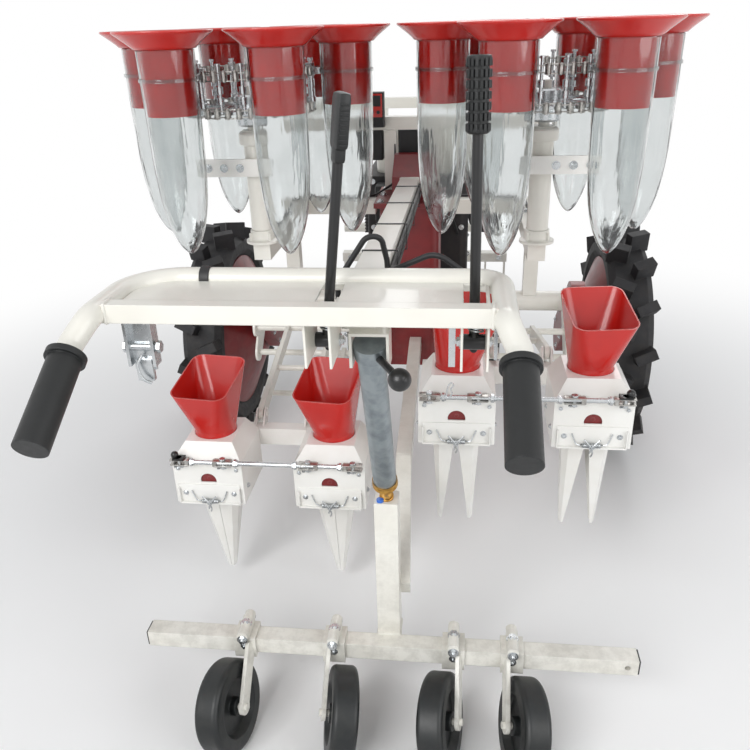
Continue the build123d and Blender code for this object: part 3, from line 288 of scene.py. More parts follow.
@dataclass(frozen=True)
class ClearPlastic(Finish):
    """Blow-moulded clear plastic: see-through, with long faint ripples from the mould."""

    ripple_mm: float = 16.0
    ripple_depth_mm: float = 1.8
    refraction: float = 1.45

    def relief(self, tree: Tree, place: Socket, corner: Socket) -> Socket:
        """Ripples that run down the wall, seven times as long as they are wide."""
        stretched = add_node(tree, "ShaderNodeMapping", {"Vector": place, "Scale": (1.0, 1.0, 0.14)})
        ripple = add_node(tree, "ShaderNodeTexNoise", {
            "Vector": stretched.outputs[0], "Scale": scale_of(self.ripple_mm), "Detail": 1.6})
        bump = add_node(tree, "ShaderNodeBump", {
            "Height": ripple.outputs["Fac"], "Distance": self.ripple_depth_mm * MM})
        return bump.outputs[0]

    def extras(self, tree: Tree, shader: bpy.types.Node, place: Socket) -> None:
        """Makes the plastic clear."""
        shader.inputs["Transmission Weight"].default_value = 1.0
        shader.inputs["IOR"].default_value = self.refraction


@dataclass(frozen=True)
class BareSteel(Finish):
    """Steel under a thin metal plating, with drawing lines along the vertical."""

    def relief(self, tree: Tree, place: Socket, corner: Socket) -> Socket:
        """Fine lines from drawing, coarser than real so that they show."""
        drawn = add_node(tree, "ShaderNodeMapping", {"Vector": place, "Scale": (1.0, 1.0, 0.12)})
        lines = add_node(tree, "ShaderNodeTexNoise", {
            "Vector": drawn.outputs[0], "Scale": scale_of(self.grain_mm), "Detail": 2.0})
        bump = add_node(tree, "ShaderNodeBump", {
            "Height": lines.outputs["Fac"], "Distance": self.grain_depth_mm * MM, "Normal": corner})
        return bump.outputs[0]


# Baked enamel on welded steel, cream: the eye sees a soft sheen, paler edges that are a painted highlight,
# and dust low down
CREAM = SprayedEnamel("cream_enamel", "#e8e6de", "#d8d4c9", 0.36, patch_mm=110.0, patch_share=0.45,
                      grain_mm=1.6, grain_depth_mm=0.02, corner_mm=2.0, edge="#f5f4ef", edge_share=0.9,
                      grime="#8a8579", grime_share=0.35)
# The same enamel on thin white sheet: cleaner and flatter, with paler edges that are a painted highlight
WHITE = SprayedEnamel("white_enamel", "#efeeea", "#dfdbd2", 0.34, patch_mm=80.0, patch_share=0.35,
                      grain_mm=1.6, grain_depth_mm=0.02, corner_mm=1.2, edge="#fbfaf6", edge_share=0.8)
# Dark red enamel on pressed rims: glossy, with pale scuffs and dust
DARK_RED = SprayedEnamel("dark_red_enamel", "#7d1418", "#5c0f13", 0.42, patch_mm=60.0, patch_share=0.6,
                         grain_mm=2.0, grain_depth_mm=0.03, corner_mm=2.0, edge="#b58f87", edge_share=0.4,
                         grime="#7d6459", grime_share=0.3, skin=0.2)
# Red polypropylene mouldings: a clear gloss and pink rims, a painted highlight along the thin walls
RED_PLASTIC = MouldedPlastic("red_polypropylene", "#c21c14", "#a91610", 0.24, patch_mm=90.0, patch_share=0.5,
                             grain_mm=2.5, grain_depth_mm=0.015, corner_mm=1.2, edge="#f0aaa0",
                             edge_share=1.3)
# Clear blow-moulded plastic: bright edges, ripples and a faint grey body
CLEAR = ClearPlastic("clear_plastic", "#eceeee", "#dfe3e3", 0.07)
# Moulded tyre rubber: matt, with chalky dust on the lugs
TYRE = Finish("tyre_rubber", "#1b1b1e", "#131315", 0.66, patch_mm=50.0, grain_mm=3.0, grain_depth_mm=0.2,
              corner_mm=4.0, edge="#3b3936", edge_share=0.6, grime="#4f483f", grime_share=0.3, grime_top=0.75)
# Smooth solid rubber of the press wheels: a satin skin with a green-black cast
WHEEL_RUBBER = Finish("smooth_rubber", "#0e1213", "#171c1f", 0.42, patch_mm=35.0, grain_mm=2.0,
                      grain_depth_mm=0.04, corner_mm=3.0, edge="#3d4446", edge_share=0.5,
                      grime="#4c4a44", grime_share=0.15, grime_top=0.3)
# Dipped grip rubber: black, slightly glossy, with handling marks
GRIP = Finish("grip_rubber", "#0e1011", "#191b1c", 0.46, patch_mm=18.0, grain_mm=1.0, grain_depth_mm=0.05,
              corner_mm=2.5, edge="#33373a", edge_share=0.4)
# Black enamel on round bar and sheet: glossy, with grey rubbed edges
BLACK = SprayedEnamel("black_enamel", "#0e0e10", "#171717", 0.34, patch_mm=40.0, grain_mm=1.4,
                      grain_depth_mm=0.02, corner_mm=1.0, edge="#55534f", edge_share=0.5, skin=0.15)
# Matt black moulded covers: fine pebble grain
BLACK_PLASTIC = Finish("black_abs", "#131315", "#1c1c1e", 0.52, patch_mm=40.0, grain_mm=1.0,
                       grain_depth_mm=0.06, corner_mm=2.0, edge="#3c3c3e", edge_share=0.4)
# Sand-cast engine iron under dark paint: rough skin, soft corners
CASTING = Finish("cast_engine", "#2b2a2c", "#3a3735", 0.55, metallic=0.3, patch_mm=30.0, grain_mm=2.4,
                 grain_depth_mm=0.25, corner_mm=3.0, edge="#6a6562", edge_share=0.5,
                 grime="#6a5f52", grime_share=0.2, grime_top=0.8)
# Bright zinc plating: cool and slightly cloudy
ZINC = BareSteel("zinc_plated_steel", "#c9ccce", "#9fa4a8", 0.26, metallic=1.0, patch_mm=25.0,
                 patch_share=0.4, grain_mm=0.9, grain_depth_mm=0.03, corner_mm=0.6)
# Galvanised tube: duller, blue-grey and patchy
GALVANISED = BareSteel("galvanised_tube", "#9fa7ab", "#7f888d", 0.38, metallic=0.9, patch_mm=22.0,
                       patch_share=0.8, grain_mm=1.2, grain_depth_mm=0.04, corner_mm=1.0)
# Yellow chromate over zinc: brassy with rainbow-brown patches
YELLOW_ZINC = BareSteel("yellow_zinc", "#c79a4f", "#9a6f3a", 0.3, metallic=1.0, patch_mm=9.0,
                        patch_share=0.8, grain_mm=0.8, grain_depth_mm=0.04, corner_mm=0.8)
# Oiled chain steel: dark between bright rollers
CHAIN_STEEL = BareSteel("oiled_chain_steel", "#b9b7b3", "#77736e", 0.28, metallic=1.0, patch_mm=9.0,
                        patch_share=0.6, grain_mm=0.8, grain_depth_mm=0.05, corner_mm=0.8)
# Pale tank enamel: grey-white, glossy, with paler edges that are a painted highlight
TANK = SprayedEnamel("tank_enamel", "#d9d6cc", "#c6c1b4", 0.25, patch_mm=60.0, grain_mm=1.5,
                     grain_depth_mm=0.02, corner_mm=2.0, edge="#efece4", edge_share=0.5, skin=0.6)
# Blue polyethylene plug: flat and bright
BLUE_PLUG = MouldedPlastic("blue_plug", "#2f6fd0", "#2a62bb", 0.35, patch_mm=12.0, grain_mm=1.0,
                           grain_depth_mm=0.01, corner_mm=1.0)

FINISHES = {
    CREAM: ("main_beam", "chassis_frame", "guide_forks", "bumper", "seedling_rack", "carousel_stand",
            "handlebar", "handle_plate", "trailing_arm", "press_post", "press_bar", "press_arms",
            "lift_arms_left", "lift_links_left", "lift_arms_right", "lift_links_right"),
    WHITE: ("planter_frame_left", "planter_frame_right", "jaw_left_outer_a", "jaw_left_outer_b",
            "jaw_left_inner_a", "jaw_left_inner_b", "jaw_right_outer_a", "jaw_right_outer_b",
            "jaw_right_inner_a", "jaw_right_inner_b"),
    DARK_RED: ("gearbox", "drive_axles", "drive_rim_left", "drive_rim_right"),
    RED_PLASTIC: ("cup_funnels_left", "cup_funnels_right", "hoppers_left", "hoppers_right"),
    CLEAR: ("clear_cups_left", "clear_cups_right"),
    TYRE: ("drive_tyre_left", "drive_tyre_right"),
    WHEEL_RUBBER: ("press_wheel_1", "press_wheel_2", "press_wheel_3", "press_wheel_4",
                   "guide_wheel_left", "guide_wheel_right"),
    GRIP: ("hand_grips", "lever_grips"),
    BLACK: ("lever_stems", "silencer", "screw_knobs"),
    BLACK_PLASTIC: ("control_boxes", "control_cables"),
    CASTING: ("engine",),
    TANK: ("fuel_tank",),
    ZINC: ("tie_rods_left", "tie_rods_right", "handle_brackets"),
    GALVANISED: ("depth_screw",),
    CHAIN_STEEL: ("carousel_wheel_left", "carousel_wheel_right"),
}


class Finishes:
    """Every finish, made once when it is first asked for."""

    made: dict[str, bpy.types.Material] = {}

    @classmethod
    def get(cls, finish: Finish) -> bpy.types.Material:
        """The material of a finish.

        Args:
            finish: The finish.

        Returns:
            Its material.
        """
        if finish.name not in cls.made:
            cls.made[finish.name] = finish.build()
        return cls.made[finish.name]


SMOOTH_BELOW = math.radians(35.0)



class Side(Enum):
    """The two halves of the machine, with the sign of X."""

    LEFT = -1
    RIGHT = 1

    @property
    def word(self) -> str:
        """The word used in the names of bodies and nodes."""
        return self.name.lower()


def seat(name: str, data: bpy.types.Mesh, body: str, finish: Finish,
         stands_for: tuple[str, ...] = ()) -> bpy.types.Object:
    """Gives a mesh its finish and lets it ride on a body.

    Args:
        name: The piece's name.
        data: Its mesh, in metres.
        body: The body that it moves with.
        finish: Its finish.
        stands_for: The CAD nodes that it is shown instead of.

    Returns:
        The piece.
    """
    data.name = name
    data.materials.clear()
    data.materials.append(Finishes.get(finish))
    data.shade_smooth()
    data.set_sharp_from_angle(angle=SMOOTH_BELOW)
    piece = bpy.data.objects.new(name, data)
    bpy.context.scene.collection.objects.link(piece)
    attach(piece, body)
    if stands_for:
        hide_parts(*stands_for)
    log.info("%s on %s, %d faces", name, body, len(data.polygons))
    return piece


def aimed(start: Point | Vector, along: Point | Vector) -> Matrix:
    """A place whose Z runs along a direction.

    Args:
        start: Its origin.
        along: The direction.

    Returns:
        The matrix.
    """
    turn = Vector(along).to_track_quat("Z", "Y").to_matrix().to_4x4()
    return Matrix.Translation(Vector(start)) @ turn


class Mould:
    """A mesh put together from small closed solids, in millimetres until it is seated."""

    def __init__(self) -> None:
        """Starts empty."""
        self.mesh = bmesh.new()

    def box(self, low: Point, high: Point, chamfer: float = 0.6, turn: Matrix | None = None) -> None:
        """Adds a block with chamfered edges.

        Args:
            low: One corner.
            high: The corner opposite.
            chamfer: The size of the chamfer.
            turn: A turn or move for the whole block.
        """
        size = Vector([abs(a - b) for a, b in zip(high, low)])
        middle = (Vector(high) + Vector(low)) / 2
        place = Matrix.Translation(middle) @ Matrix.Diagonal((*size, 1.0))
        verts = bmesh.ops.create_cube(self.mesh, size=1.0, matrix=(turn or Matrix()) @ place)["verts"]
        edges = list({edge for vert in verts for edge in vert.link_edges})
        bmesh.ops.bevel(self.mesh, geom=verts + edges, offset=min(chamfer, min(size) * 0.4), segments=2,
                        profile=0.6, affect="EDGES", clamp_overlap=True)

    def lathe(self, place: Matrix, profile: list[tuple[float, float]], sides: int = 32,
              closed: bool = False) -> None:
        """Adds a turned solid.

        Args:
            place: Where its axis is, along the local Z.
            profile: Radius and height of each ring.
            sides: How many faces go round.
            closed: Whether the last ring joins the first, as in a sleeve.
        """
        rings = []
        for radius, height in profile:
            count = sides if radius > 1e-6 else 1
            rings.append([self.mesh.verts.new(place @ Vector((
                radius * math.cos(math.tau * i / sides), radius * math.sin(math.tau * i / sides), height)))
                for i in range(count)])
        pairs = list(zip(rings, rings[1:]))
        if closed:
            pairs.append((rings[-1], rings[0]))
        for low, high in pairs:
            for i in range(sides if len(low) + len(high) > 2 else 0):
                j = (i + 1) % sides
                corners = [low[0]] if len(low) == 1 else [low[i], low[j]]
                corners += [high[0]] if len(high) == 1 else [high[j], high[i]]
                self.mesh.faces.new(corners)
        for ring in () if closed else (rings[0], rings[-1]):
            if len(ring) > 1:
                self.mesh.faces.new(ring)

    def bar(self, start: Point | Vector, end: Point | Vector, radius: float, sides: int = 24,
            chamfer: float = 0.6) -> None:
        """Adds a round bar, or a hexagon with six sides.

        Args:
            start: One end.
            end: The other end.
            radius: Its radius.
            sides: How many faces go round.
            chamfer: The chamfer of its ends.
        """
        line = Vector(end) - Vector(start)
        cut = min(chamfer, radius * 0.4, line.length * 0.4)
        self.lathe(aimed(start, line), [(radius - cut, 0), (radius, cut), (radius, line.length - cut),
                                        (radius - cut, line.length)], sides)

    def ball(self, centre: Point | Vector, radius: float, sides: int = 20) -> None:
        """Adds a ball."""
        steps = sides // 2
        profile = [(radius * math.sin(math.pi * i / steps), -radius * math.cos(math.pi * i / steps))
                   for i in range(steps + 1)]
        profile[0] = (0.0, -radius)
        profile[-1] = (0.0, radius)
        self.lathe(Matrix.Translation(Vector(centre)), profile, sides)

    def wire(self, points: list[Point], radius: float, sides: int = 10, bend: float = 12.0) -> None:
        """Adds a round wire along straight runs with rounded corners.

        Args:
            points: The corners of its path.
            radius: Its radius.
            sides: How many faces go round.
            bend: How far from a corner it starts to turn.
        """
        corners = [Vector(p) for p in points]
        path = [corners[0]]
        for before, corner, after in zip(corners, corners[1:], corners[2:]):
            near = min(bend, (before - corner).length * 0.45, (after - corner).length * 0.45)
            first = corner + (before - corner).normalized() * near
            last = corner + (after - corner).normalized() * near
            for step in range(5):
                t = step / 4
                path.append(first * (1 - t) ** 2 + corner * 2 * t * (1 - t) + last * t * t)
        path.append(corners[-1])
        side = (path[1] - path[0]).orthogonal().normalized()
        rings = []
        for i, point in enumerate(path):
            ahead = (path[min(i + 1, len(path) - 1)] - path[max(i - 1, 0)]).normalized()
            side = (side - ahead * side.dot(ahead)).normalized()
            other = ahead.cross(side)
            rings.append([self.mesh.verts.new(
                point + side * radius * math.cos(math.tau * k / sides)
                + other * radius * math.sin(math.tau * k / sides)) for k in range(sides)])
        for low, high in zip(rings, rings[1:]):
            for i in range(sides):
                j = (i + 1) % sides
                self.mesh.faces.new((low[i], low[j], high[j], high[i]))
        self.mesh.faces.new(rings[0])
        self.mesh.faces.new(rings[-1])

    def finish(self, name: str, body: str, finish: Finish, stands_for: tuple[str, ...] = ()) -> None:
        """Turns the faces outwards and seats the piece.

        Args:
            name: The piece's name.
            body: The body that it moves with.
            finish: Its finish.
            stands_for: The CAD nodes that it is shown instead of.
        """
        bmesh.ops.recalc_face_normals(self.mesh, faces=self.mesh.faces)
        self.mesh.transform(Matrix.Scale(MM, 4))
        data = bpy.data.meshes.new(name)
        self.mesh.to_mesh(data)
        self.mesh.free()
        seat(name, data, body, finish, stands_for)


@dataclass
class Grower:
    """Runs one Geometry Nodes tree, drawn in millimetres, and seats its result as a piece."""

    name: str
    body: str
    finish: Finish
    values: dict[str, float | int]

    def run(self, build: Callable[[Tree, dict], Socket], place: Matrix | None = None,
            seed: bpy.types.Mesh | None = None) -> None:
        """Builds the tree, evaluates it once and seats the mesh that it gives.

        Args:
            build: Adds the nodes and returns the geometry before it is realised.
            place: Where the result goes.
            seed: The mesh that the tree starts from, if it needs one.
        """
        label = f"{self.name}_tree"
        tree = bpy.data.node_groups.new(label, "GeometryNodeTree")
        tree.interface.new_socket("Geometry", in_out="INPUT", socket_type="NodeSocketGeometry")
        tree.interface.new_socket("Geometry", in_out="OUTPUT", socket_type="NodeSocketGeometry")
        for title, value in self.values.items():
            kind = "NodeSocketInt" if isinstance(value, int) else "NodeSocketFloat"
            tree.interface.new_socket(title, in_out="INPUT", socket_type=kind)
        tree.interface.new_socket("Finish", in_out="INPUT", socket_type="NodeSocketMaterial")
        source = add_node(tree, "NodeGroupInput").outputs
        real = add_node(tree, "GeometryNodeRealizeInstances", {0: build(tree, source)})
        paint = add_node(tree, "GeometryNodeSetMaterial", {0: real.outputs[0], "Material": source["Finish"]})
        add_node(tree, "NodeGroupOutput", {0: paint.outputs[0]})
        host = bpy.data.objects.new(label, seed or bpy.data.meshes.new(label))
        bpy.context.scene.collection.objects.link(host)
        modifier = host.modifiers.new(label, "NODES")
        modifier.node_group = tree
        given = {**self.values, "Finish": Finishes.get(self.finish)}
        for item in tree.interface.items_tree:
            if item.in_out == "INPUT" and item.name in given:
                modifier[item.identifier] = given[item.name]
        graph = bpy.context.evaluated_depsgraph_get()
        made = bpy.data.meshes.new_from_object(host.evaluated_get(graph))
        host.modifiers.remove(modifier)
        bpy.data.objects.remove(host)
        made.transform(Matrix.Scale(MM, 4) @ (place or Matrix()))
        seat(self.name, made, self.body, self.finish)


def on_axis(tree: Tree, rows: list[tuple[int, float | Socket, float | Socket, float]]) -> Socket:
    """Round parts on one upright axis, as one shape.

    Args:
        tree: The tree.
        rows: Of each part, its faces round, its radius, its depth and the height of its middle.

    Returns:
        The shape.
    """
    parts = []
    for sides, radius, depth, up in rows:
        part = add_node(tree, "GeometryNodeMeshCylinder", {
            "Vertices": sides, "Radius": radius, "Depth": depth})
        parts.append(add_node(tree, "GeometryNodeTransform", {
            "Geometry": part.outputs[0], "Translation": (0.0, 0.0, up)}).outputs[0])
    return add_node(tree, "GeometryNodeJoinGeometry", {0: parts}).outputs[0]


def in_row(tree: Tree, count: Socket, shape: Socket, first: float, step: float) -> Socket:
    """Sets a shape on an upright row.

    Args:
        tree: The tree.
        count: How many there are.
        shape: The shape.
        first: The height of the first.
        step: The height from one to the next.

    Returns:
        The instances.
    """
    row = add_node(tree, "GeometryNodeMeshLine", {
        "Count": count, "Start Location": (0.0, 0.0, first), "Offset": (0.0, 0.0, step)})
    return add_node(tree, "GeometryNodeInstanceOnPoints", {
        "Points": row.outputs[0], "Instance": shape}).outputs[0]


def around(tree: Tree, source: dict, shape: Socket, shift: float = 0.0) -> Socket:
    """Sets a shape round a circle, each turned with its place.

    Args:
        tree: The tree.
        source: Its inputs, with Count, Radius and Step.
        shape: The shape, X away from the middle.
        shift: A part of a step to start at.

    Returns:
        The instances.
    """
    number = add_node(tree, "GeometryNodeInputIndex").outputs[0]
    turned = add_node(tree, "ShaderNodeMath", {0: number, 1: shift}, operation="ADD")
    angle = add_node(tree, "ShaderNodeMath", {0: turned.outputs[0], 1: source["Step"]}, operation="MULTIPLY")
    across = add_node(tree, "ShaderNodeMath", {0: angle.outputs[0]}, operation="COSINE")
    along = add_node(tree, "ShaderNodeMath", {0: angle.outputs[0]}, operation="SINE")
    unit = add_node(tree, "ShaderNodeCombineXYZ", {0: across.outputs[0], 1: along.outputs[0]})
    spot = add_node(tree, "ShaderNodeVectorMath", {0: unit.outputs[0], "Scale": source["Radius"]},
                    operation="SCALE")
    points = add_node(tree, "GeometryNodePoints", {"Count": source["Count"], "Position": spot.outputs[0]})
    turn = add_node(tree, "FunctionNodeAxisAngleToRotation", {"Axis": (0.0, 0.0, 1.0),
                                                             "Angle": angle.outputs[0]})
    placed = add_node(tree, "GeometryNodeInstanceOnPoints", {
        "Points": points.outputs[0], "Instance": shape, "Rotation": turn.outputs[0]})
    return placed.outputs[0]


@dataclass
class Fasteners:
    """Hexagon heads on washers, set on points of one body."""

    name: str
    body: str
    finish: Finish
    sides: int = 6
    head: float = 0.62
    washer: float = 1.35
    spots: list[tuple[Point, Point, float]] = field(default_factory=list)

    def add(self, spot: Point, out: Point, radius: float) -> None:
        """Adds one head.

        Args:
            spot: Where it sits.
            out: The way that it faces.
            radius: Half its width across the corners.
        """
        self.spots.append((spot, out, radius))

    def tree(self, tree: Tree, source: dict) -> Socket:
        """One head and its washer on every point."""
        shape = on_axis(tree, [
            (source["Sides"], 1.0, source["Head"], 0.42), (20, source["Washer"], 0.34, 0.0),
            (12, 0.5, 1.5, 0.3)])
        out = add_node(tree, "GeometryNodeInputNamedAttribute", {"Name": "out"}, data_type="FLOAT_VECTOR")
        size = add_node(tree, "GeometryNodeInputNamedAttribute", {"Name": "size"}, data_type="FLOAT")
        turn = add_node(tree, "FunctionNodeAlignRotationToVector", {"Vector": out.outputs["Attribute"]},
                        axis="Z")
        placed = add_node(tree, "GeometryNodeInstanceOnPoints", {
            "Points": source["Geometry"], "Instance": shape, "Rotation": turn.outputs[0],
            "Scale": size.outputs["Attribute"]})
        return placed.outputs[0]

    def build(self) -> None:
        """Makes all heads as one piece."""
        seed = bpy.data.meshes.new(self.name)
        seed.from_pydata([spot for spot, _, _ in self.spots], [], [])
        seed.attributes.new("out", "FLOAT_VECTOR", "POINT")
        seed.attributes.new("size", "FLOAT", "POINT")
        for i, (_, way, radius) in enumerate(self.spots):
            seed.attributes["out"].data[i].vector = way
            seed.attributes["size"].data[i].value = radius
        values = {"Sides": self.sides, "Head": self.head, "Washer": self.washer}
        Grower(self.name, self.body, self.finish, values).run(self.tree, seed=seed)


@dataclass
class Coil:
    """A round wire wound into a screw line: a spring, or the crest of a thread."""

    name: str
    body: str
    finish: Finish
    radius: float
    wire: float
    pitch: float

    def tree(self, tree: Tree, source: dict) -> Socket:
        """The spiral with its round section."""
        spiral = add_node(tree, "GeometryNodeCurveSpiral", {
            "Resolution": 18, "Rotations": source["Turns"], "Start Radius": source["Radius"],
            "End Radius": source["Radius"], "Height": source["Length"]})
        section = add_node(tree, "GeometryNodeCurvePrimitiveCircle", {
            "Resolution": 8, "Radius": source["Wire"]})
        swept = add_node(tree, "GeometryNodeCurveToMesh", {
            "Curve": spiral.outputs[0], "Profile Curve": section.outputs[0], "Fill Caps": True})
        return swept.outputs[0]

    def build(self, start: Point | Vector, end: Point | Vector) -> None:
        """Winds it between two points.

        Args:
            start: One end of its axis.
            end: The other end.
        """
        line = Vector(end) - Vector(start)
        values = {"Turns": line.length / self.pitch, "Radius": self.radius, "Wire": self.wire,
                  "Length": line.length}
        Grower(self.name, self.body, self.finish, values).run(self.tree, aimed(start, line))


@dataclass
class Welds:
    """Weld beads that follow the joints of one body's tubes, a little uneven along their way."""

    name: str
    body: str
    radius: float = 2.4
    loops: list[list[Point]] = field(default_factory=list)

    def square(self, centre: Point, across: Point, other: Point) -> None:
        """Adds a bead round a square tube.

        Args:
            centre: The middle of the joint.
            across: Half the tube one way.
            other: Half the tube the other way.
        """
        c, a, b = Vector(centre), Vector(across), Vector(other)
        self.loops.append([tuple(c + a + b), tuple(c - a + b), tuple(c - a - b), tuple(c + a - b)])

    def tree(self, tree: Tree, source: dict) -> Socket:
        """The bead along each loop, its surface lifted by a noise of 5 mm."""
        path = add_node(tree, "GeometryNodeMeshToCurve", {"Mesh": source["Geometry"]})
        fine = add_node(tree, "GeometryNodeResampleCurve", {"Curve": path.outputs[0], "Length": 2.0},
                        mode="LENGTH")
        section = add_node(tree, "GeometryNodeCurvePrimitiveCircle", {
            "Resolution": 8, "Radius": source["Bead"]})
        swept = add_node(tree, "GeometryNodeCurveToMesh", {
            "Curve": fine.outputs[0], "Profile Curve": section.outputs[0]})
        ripple = add_node(tree, "ShaderNodeTexNoise", {"Scale": 0.2, "Detail": 1.0})
        lift = add_node(tree, "ShaderNodeMath", {0: ripple.outputs["Fac"], 1: -0.5}, operation="ADD")
        out = add_node(tree, "GeometryNodeInputNormal").outputs[0]
        shift = add_node(tree, "ShaderNodeVectorMath", {0: out, "Scale": lift.outputs[0]}, operation="SCALE")
        moved_by = add_node(tree, "GeometryNodeSetPosition", {
            "Geometry": swept.outputs[0], "Offset": shift.outputs[0]})
        return moved_by.outputs[0]

    def build(self, finish: Finish) -> None:
        """Lays all beads as one piece.

        Args:
            finish: The paint over them.
        """
        spots = [p for loop in self.loops for p in loop]
        edges = [(4 * k + i, 4 * k + (i + 1) % 4) for k in range(len(self.loops)) for i in range(4)]
        seed = bpy.data.meshes.new(self.name)
        seed.from_pydata(spots, edges, [])
        Grower(self.name, self.body, finish, {"Bead": self.radius}).run(self.tree, seed=seed)


@dataclass
class Carousel:
    """One cup carousel: sprocket, two roller chains, pins, bands, the clear cups and their funnels."""

    side: Side
    centre: Point = (280.0, -200.0, 1035.0)
    circle: float = 190.0
    pitch_r: float = 121.0
    links: int = 36
    band_rise: float = 63.0
    barrel: float = 9.0
    cup_r: float = 49.0
    wall: float = 2.5
    length: float = 355.0
    mouth_z: float = 1145.0
    rim_z: float = 1175.0
    lip_r: float = 84.0
    collar: float = 135.0
    nose: tuple[tuple[float, float], ...] = (
        (0.0, 1.0), (0.2, 0.985), (0.38, 0.965), (0.55, 0.94), (0.63, 0.905), (0.7, 0.86), (0.755, 0.805),
        (0.8, 0.745), (0.842, 0.67), (0.88, 0.585), (0.912, 0.495), (0.94, 0.4), (0.962, 0.305),
        (0.98, 0.21), (0.992, 0.12), (1.0, 0.0))

    @property
    def body(self) -> str:
        """The body that turns."""
        return f"carousel_{self.side.word}"

    @property
    def middle(self) -> Vector:
        """The middle of the sprocket."""
        return Vector((self.side.value * self.centre[0], self.centre[1], self.centre[2]))

    def outs(self) -> list[Vector]:
        """The direction of each cup from the middle."""
        first = 30.0 if self.side is Side.LEFT else -25.0
        turns = [math.radians(first + 60.0 * i) for i in range(6)]
        return [Vector((math.sin(a), -math.cos(a), 0.0)) for a in turns]

    def link_tree(self, tree: Tree, source: dict) -> Socket:
        """Inner and outer plates in turn, with a roller and a riveted pin at each joint."""
        step = math.tau * self.pitch_r / self.links
        both = on_axis(tree, [(20, 5.6, source["Barrel"], 0.0), (12, 2.4, self.barrel + 11.0, 0.0)])
        shapes = [around(tree, source, both, 0.25), around(tree, source, both, 0.75)]
        for rise, shift in ((1.0, 0.0), (3.2, 1.0)):
            plates = []
            for up in (-self.barrel / 2 - rise, self.barrel / 2 + rise):
                web = add_node(tree, "GeometryNodeMeshCube", {"Size": (7.0, step, 1.8)}).outputs[0]
                eye = on_axis(tree, [(16, 6.0, 1.8, 0.0)])
                plates += [add_node(tree, "GeometryNodeTransform", {
                    "Geometry": shape, "Translation": (0.0, along, up)}).outputs[0]
                    for shape, along in ((web, 0.0), (eye, step / 2), (eye, -step / 2))]
            link = add_node(tree, "GeometryNodeJoinGeometry", {0: plates}).outputs[0]
            shapes.append(around(tree, source, link, shift / 2))
        return add_node(tree, "GeometryNodeJoinGeometry", {0: shapes}).outputs[0]

    def post_tree(self, tree: Tree, source: dict) -> Socket:
        """Thin pins between the chains with bright rollers and caps."""
        return around(tree, source, on_axis(tree, [
            (16, 3.0, 84.0, 42.0), (16, 6.2, 12.0, 22.0), (16, 6.2, 12.0, 40.0), (16, 5.0, 4.0, 82.0)]))

    def teeth_tree(self, tree: Tree, source: dict) -> Socket:
        """The teeth between the rollers."""
        tooth = add_node(tree, "GeometryNodeMeshCone", {
            "Vertices": 8, "Radius Top": 1.6, "Radius Bottom": 4.6, "Depth": 9.0}).outputs[0]
        lying = add_node(tree, "GeometryNodeTransform", {
            "Geometry": tooth, "Rotation": (0.0, math.pi / 2, 0.0), "Scale": (1.0, 1.0, 0.5)}).outputs[0]
        return around(tree, source, lying, 0.5)

    def chains(self) -> None:
        """Both roller chains, their posts and the sprocket's teeth."""
        half = self.links // 2
        runs = (("chain_low", self.link_tree, half, self.pitch_r, 0.0, CHAIN_STEEL),
                ("chain_high", self.link_tree, half, self.pitch_r, self.band_rise, CHAIN_STEEL),
                ("chain_posts", self.post_tree, half, self.pitch_r, 0.0, ZINC),
                ("sprocket_teeth", self.teeth_tree, self.links, self.pitch_r - 9.0, 0.0, CHAIN_STEEL))
        for label, tree, count, radius, rise, finish in runs:
            values = {"Count": count, "Radius": radius, "Step": math.tau / count, "Barrel": self.barrel}
            Grower(f"{label}_{self.side.word}", self.body, finish, values).run(
                tree, Matrix.Translation(self.middle + Vector((0.0, 0.0, rise))))

    def wheel(self) -> None:
        """The spoked sprocket with its hub, the cup pins, and a clamped band for each cup."""
        mould = Mould()
        bands = Mould()
        at_middle = Matrix.Translation(self.middle)
        mould.lathe(at_middle, [(96.0, -2.5), (114.0, -2.5), (114.0, 2.5), (96.0, 2.5)], 72, True)
        mould.lathe(at_middle, [(10.6, -34.0), (26.0, -34.0), (30.0, -30.0), (30.0, -5.0), (50.0, -2.5),
                                (50.0, 2.5), (30.0, 5.0), (30.0, 21.0), (27.0, 24.0), (10.6, 24.0)], 48, True)
        for i in range(6):
            turn = at_middle @ Matrix.Rotation(math.radians(60.0 * i + 30.0), 4, "Z")
            mould.box((44.0, -15.0, -2.5), (100.0, 15.0, 2.5), 0.8, turn)
        for out in self.outs():
            pin = self.middle + out * self.pitch_r
            mould.bar(pin + Vector((0, 0, -4)), pin + Vector((0, 0, 76)), 5.5)
            mould.bar(pin + Vector((0, 0, 8)), pin + Vector((0, 0, 18)), 8.0)
            mould.bar(pin + Vector((0, 0, 70)), pin + Vector((0, 0, 77)), 8.0, 6)
            band = self.middle + out * self.circle + Vector((0, 0, self.band_rise))
            bands.lathe(Matrix.Translation(band), [
                (self.cup_r + 0.4, -3.0), (self.cup_r + 1.4, -3.0), (self.cup_r + 1.8, -2.4),
                (self.cup_r + 1.8, 2.4), (self.cup_r + 1.4, 3.0), (self.cup_r + 0.4, 3.0)], 56, True)
            turn = Matrix.Translation(band) @ out.to_track_quat("-Y", "Z").to_matrix().to_4x4()
            inner = self.circle - self.pitch_r
            for flank in (-1, 1):
                mould.box((flank * 3.0, self.cup_r + 1.0, -6.0), (flank * 6.5, inner - 2.0, 6.0), 0.6, turn)
            middle_y = (self.cup_r + inner) / 2
            mould.bar(turn @ Vector((-11.0, middle_y, 0.0)), turn @ Vector((11.0, middle_y, 0.0)), 3.0)
            mould.bar(turn @ Vector((6.5, middle_y, 0.0)), turn @ Vector((12.0, middle_y, 0.0)), 6.0, 6)
        word = self.side.word
        bands.finish(f"cup_bands_{word}", self.body, CLEAR)
        mould.finish(f"sprocket_{word}", self.body, ZINC, (f"carousel_wheel_{word}",))

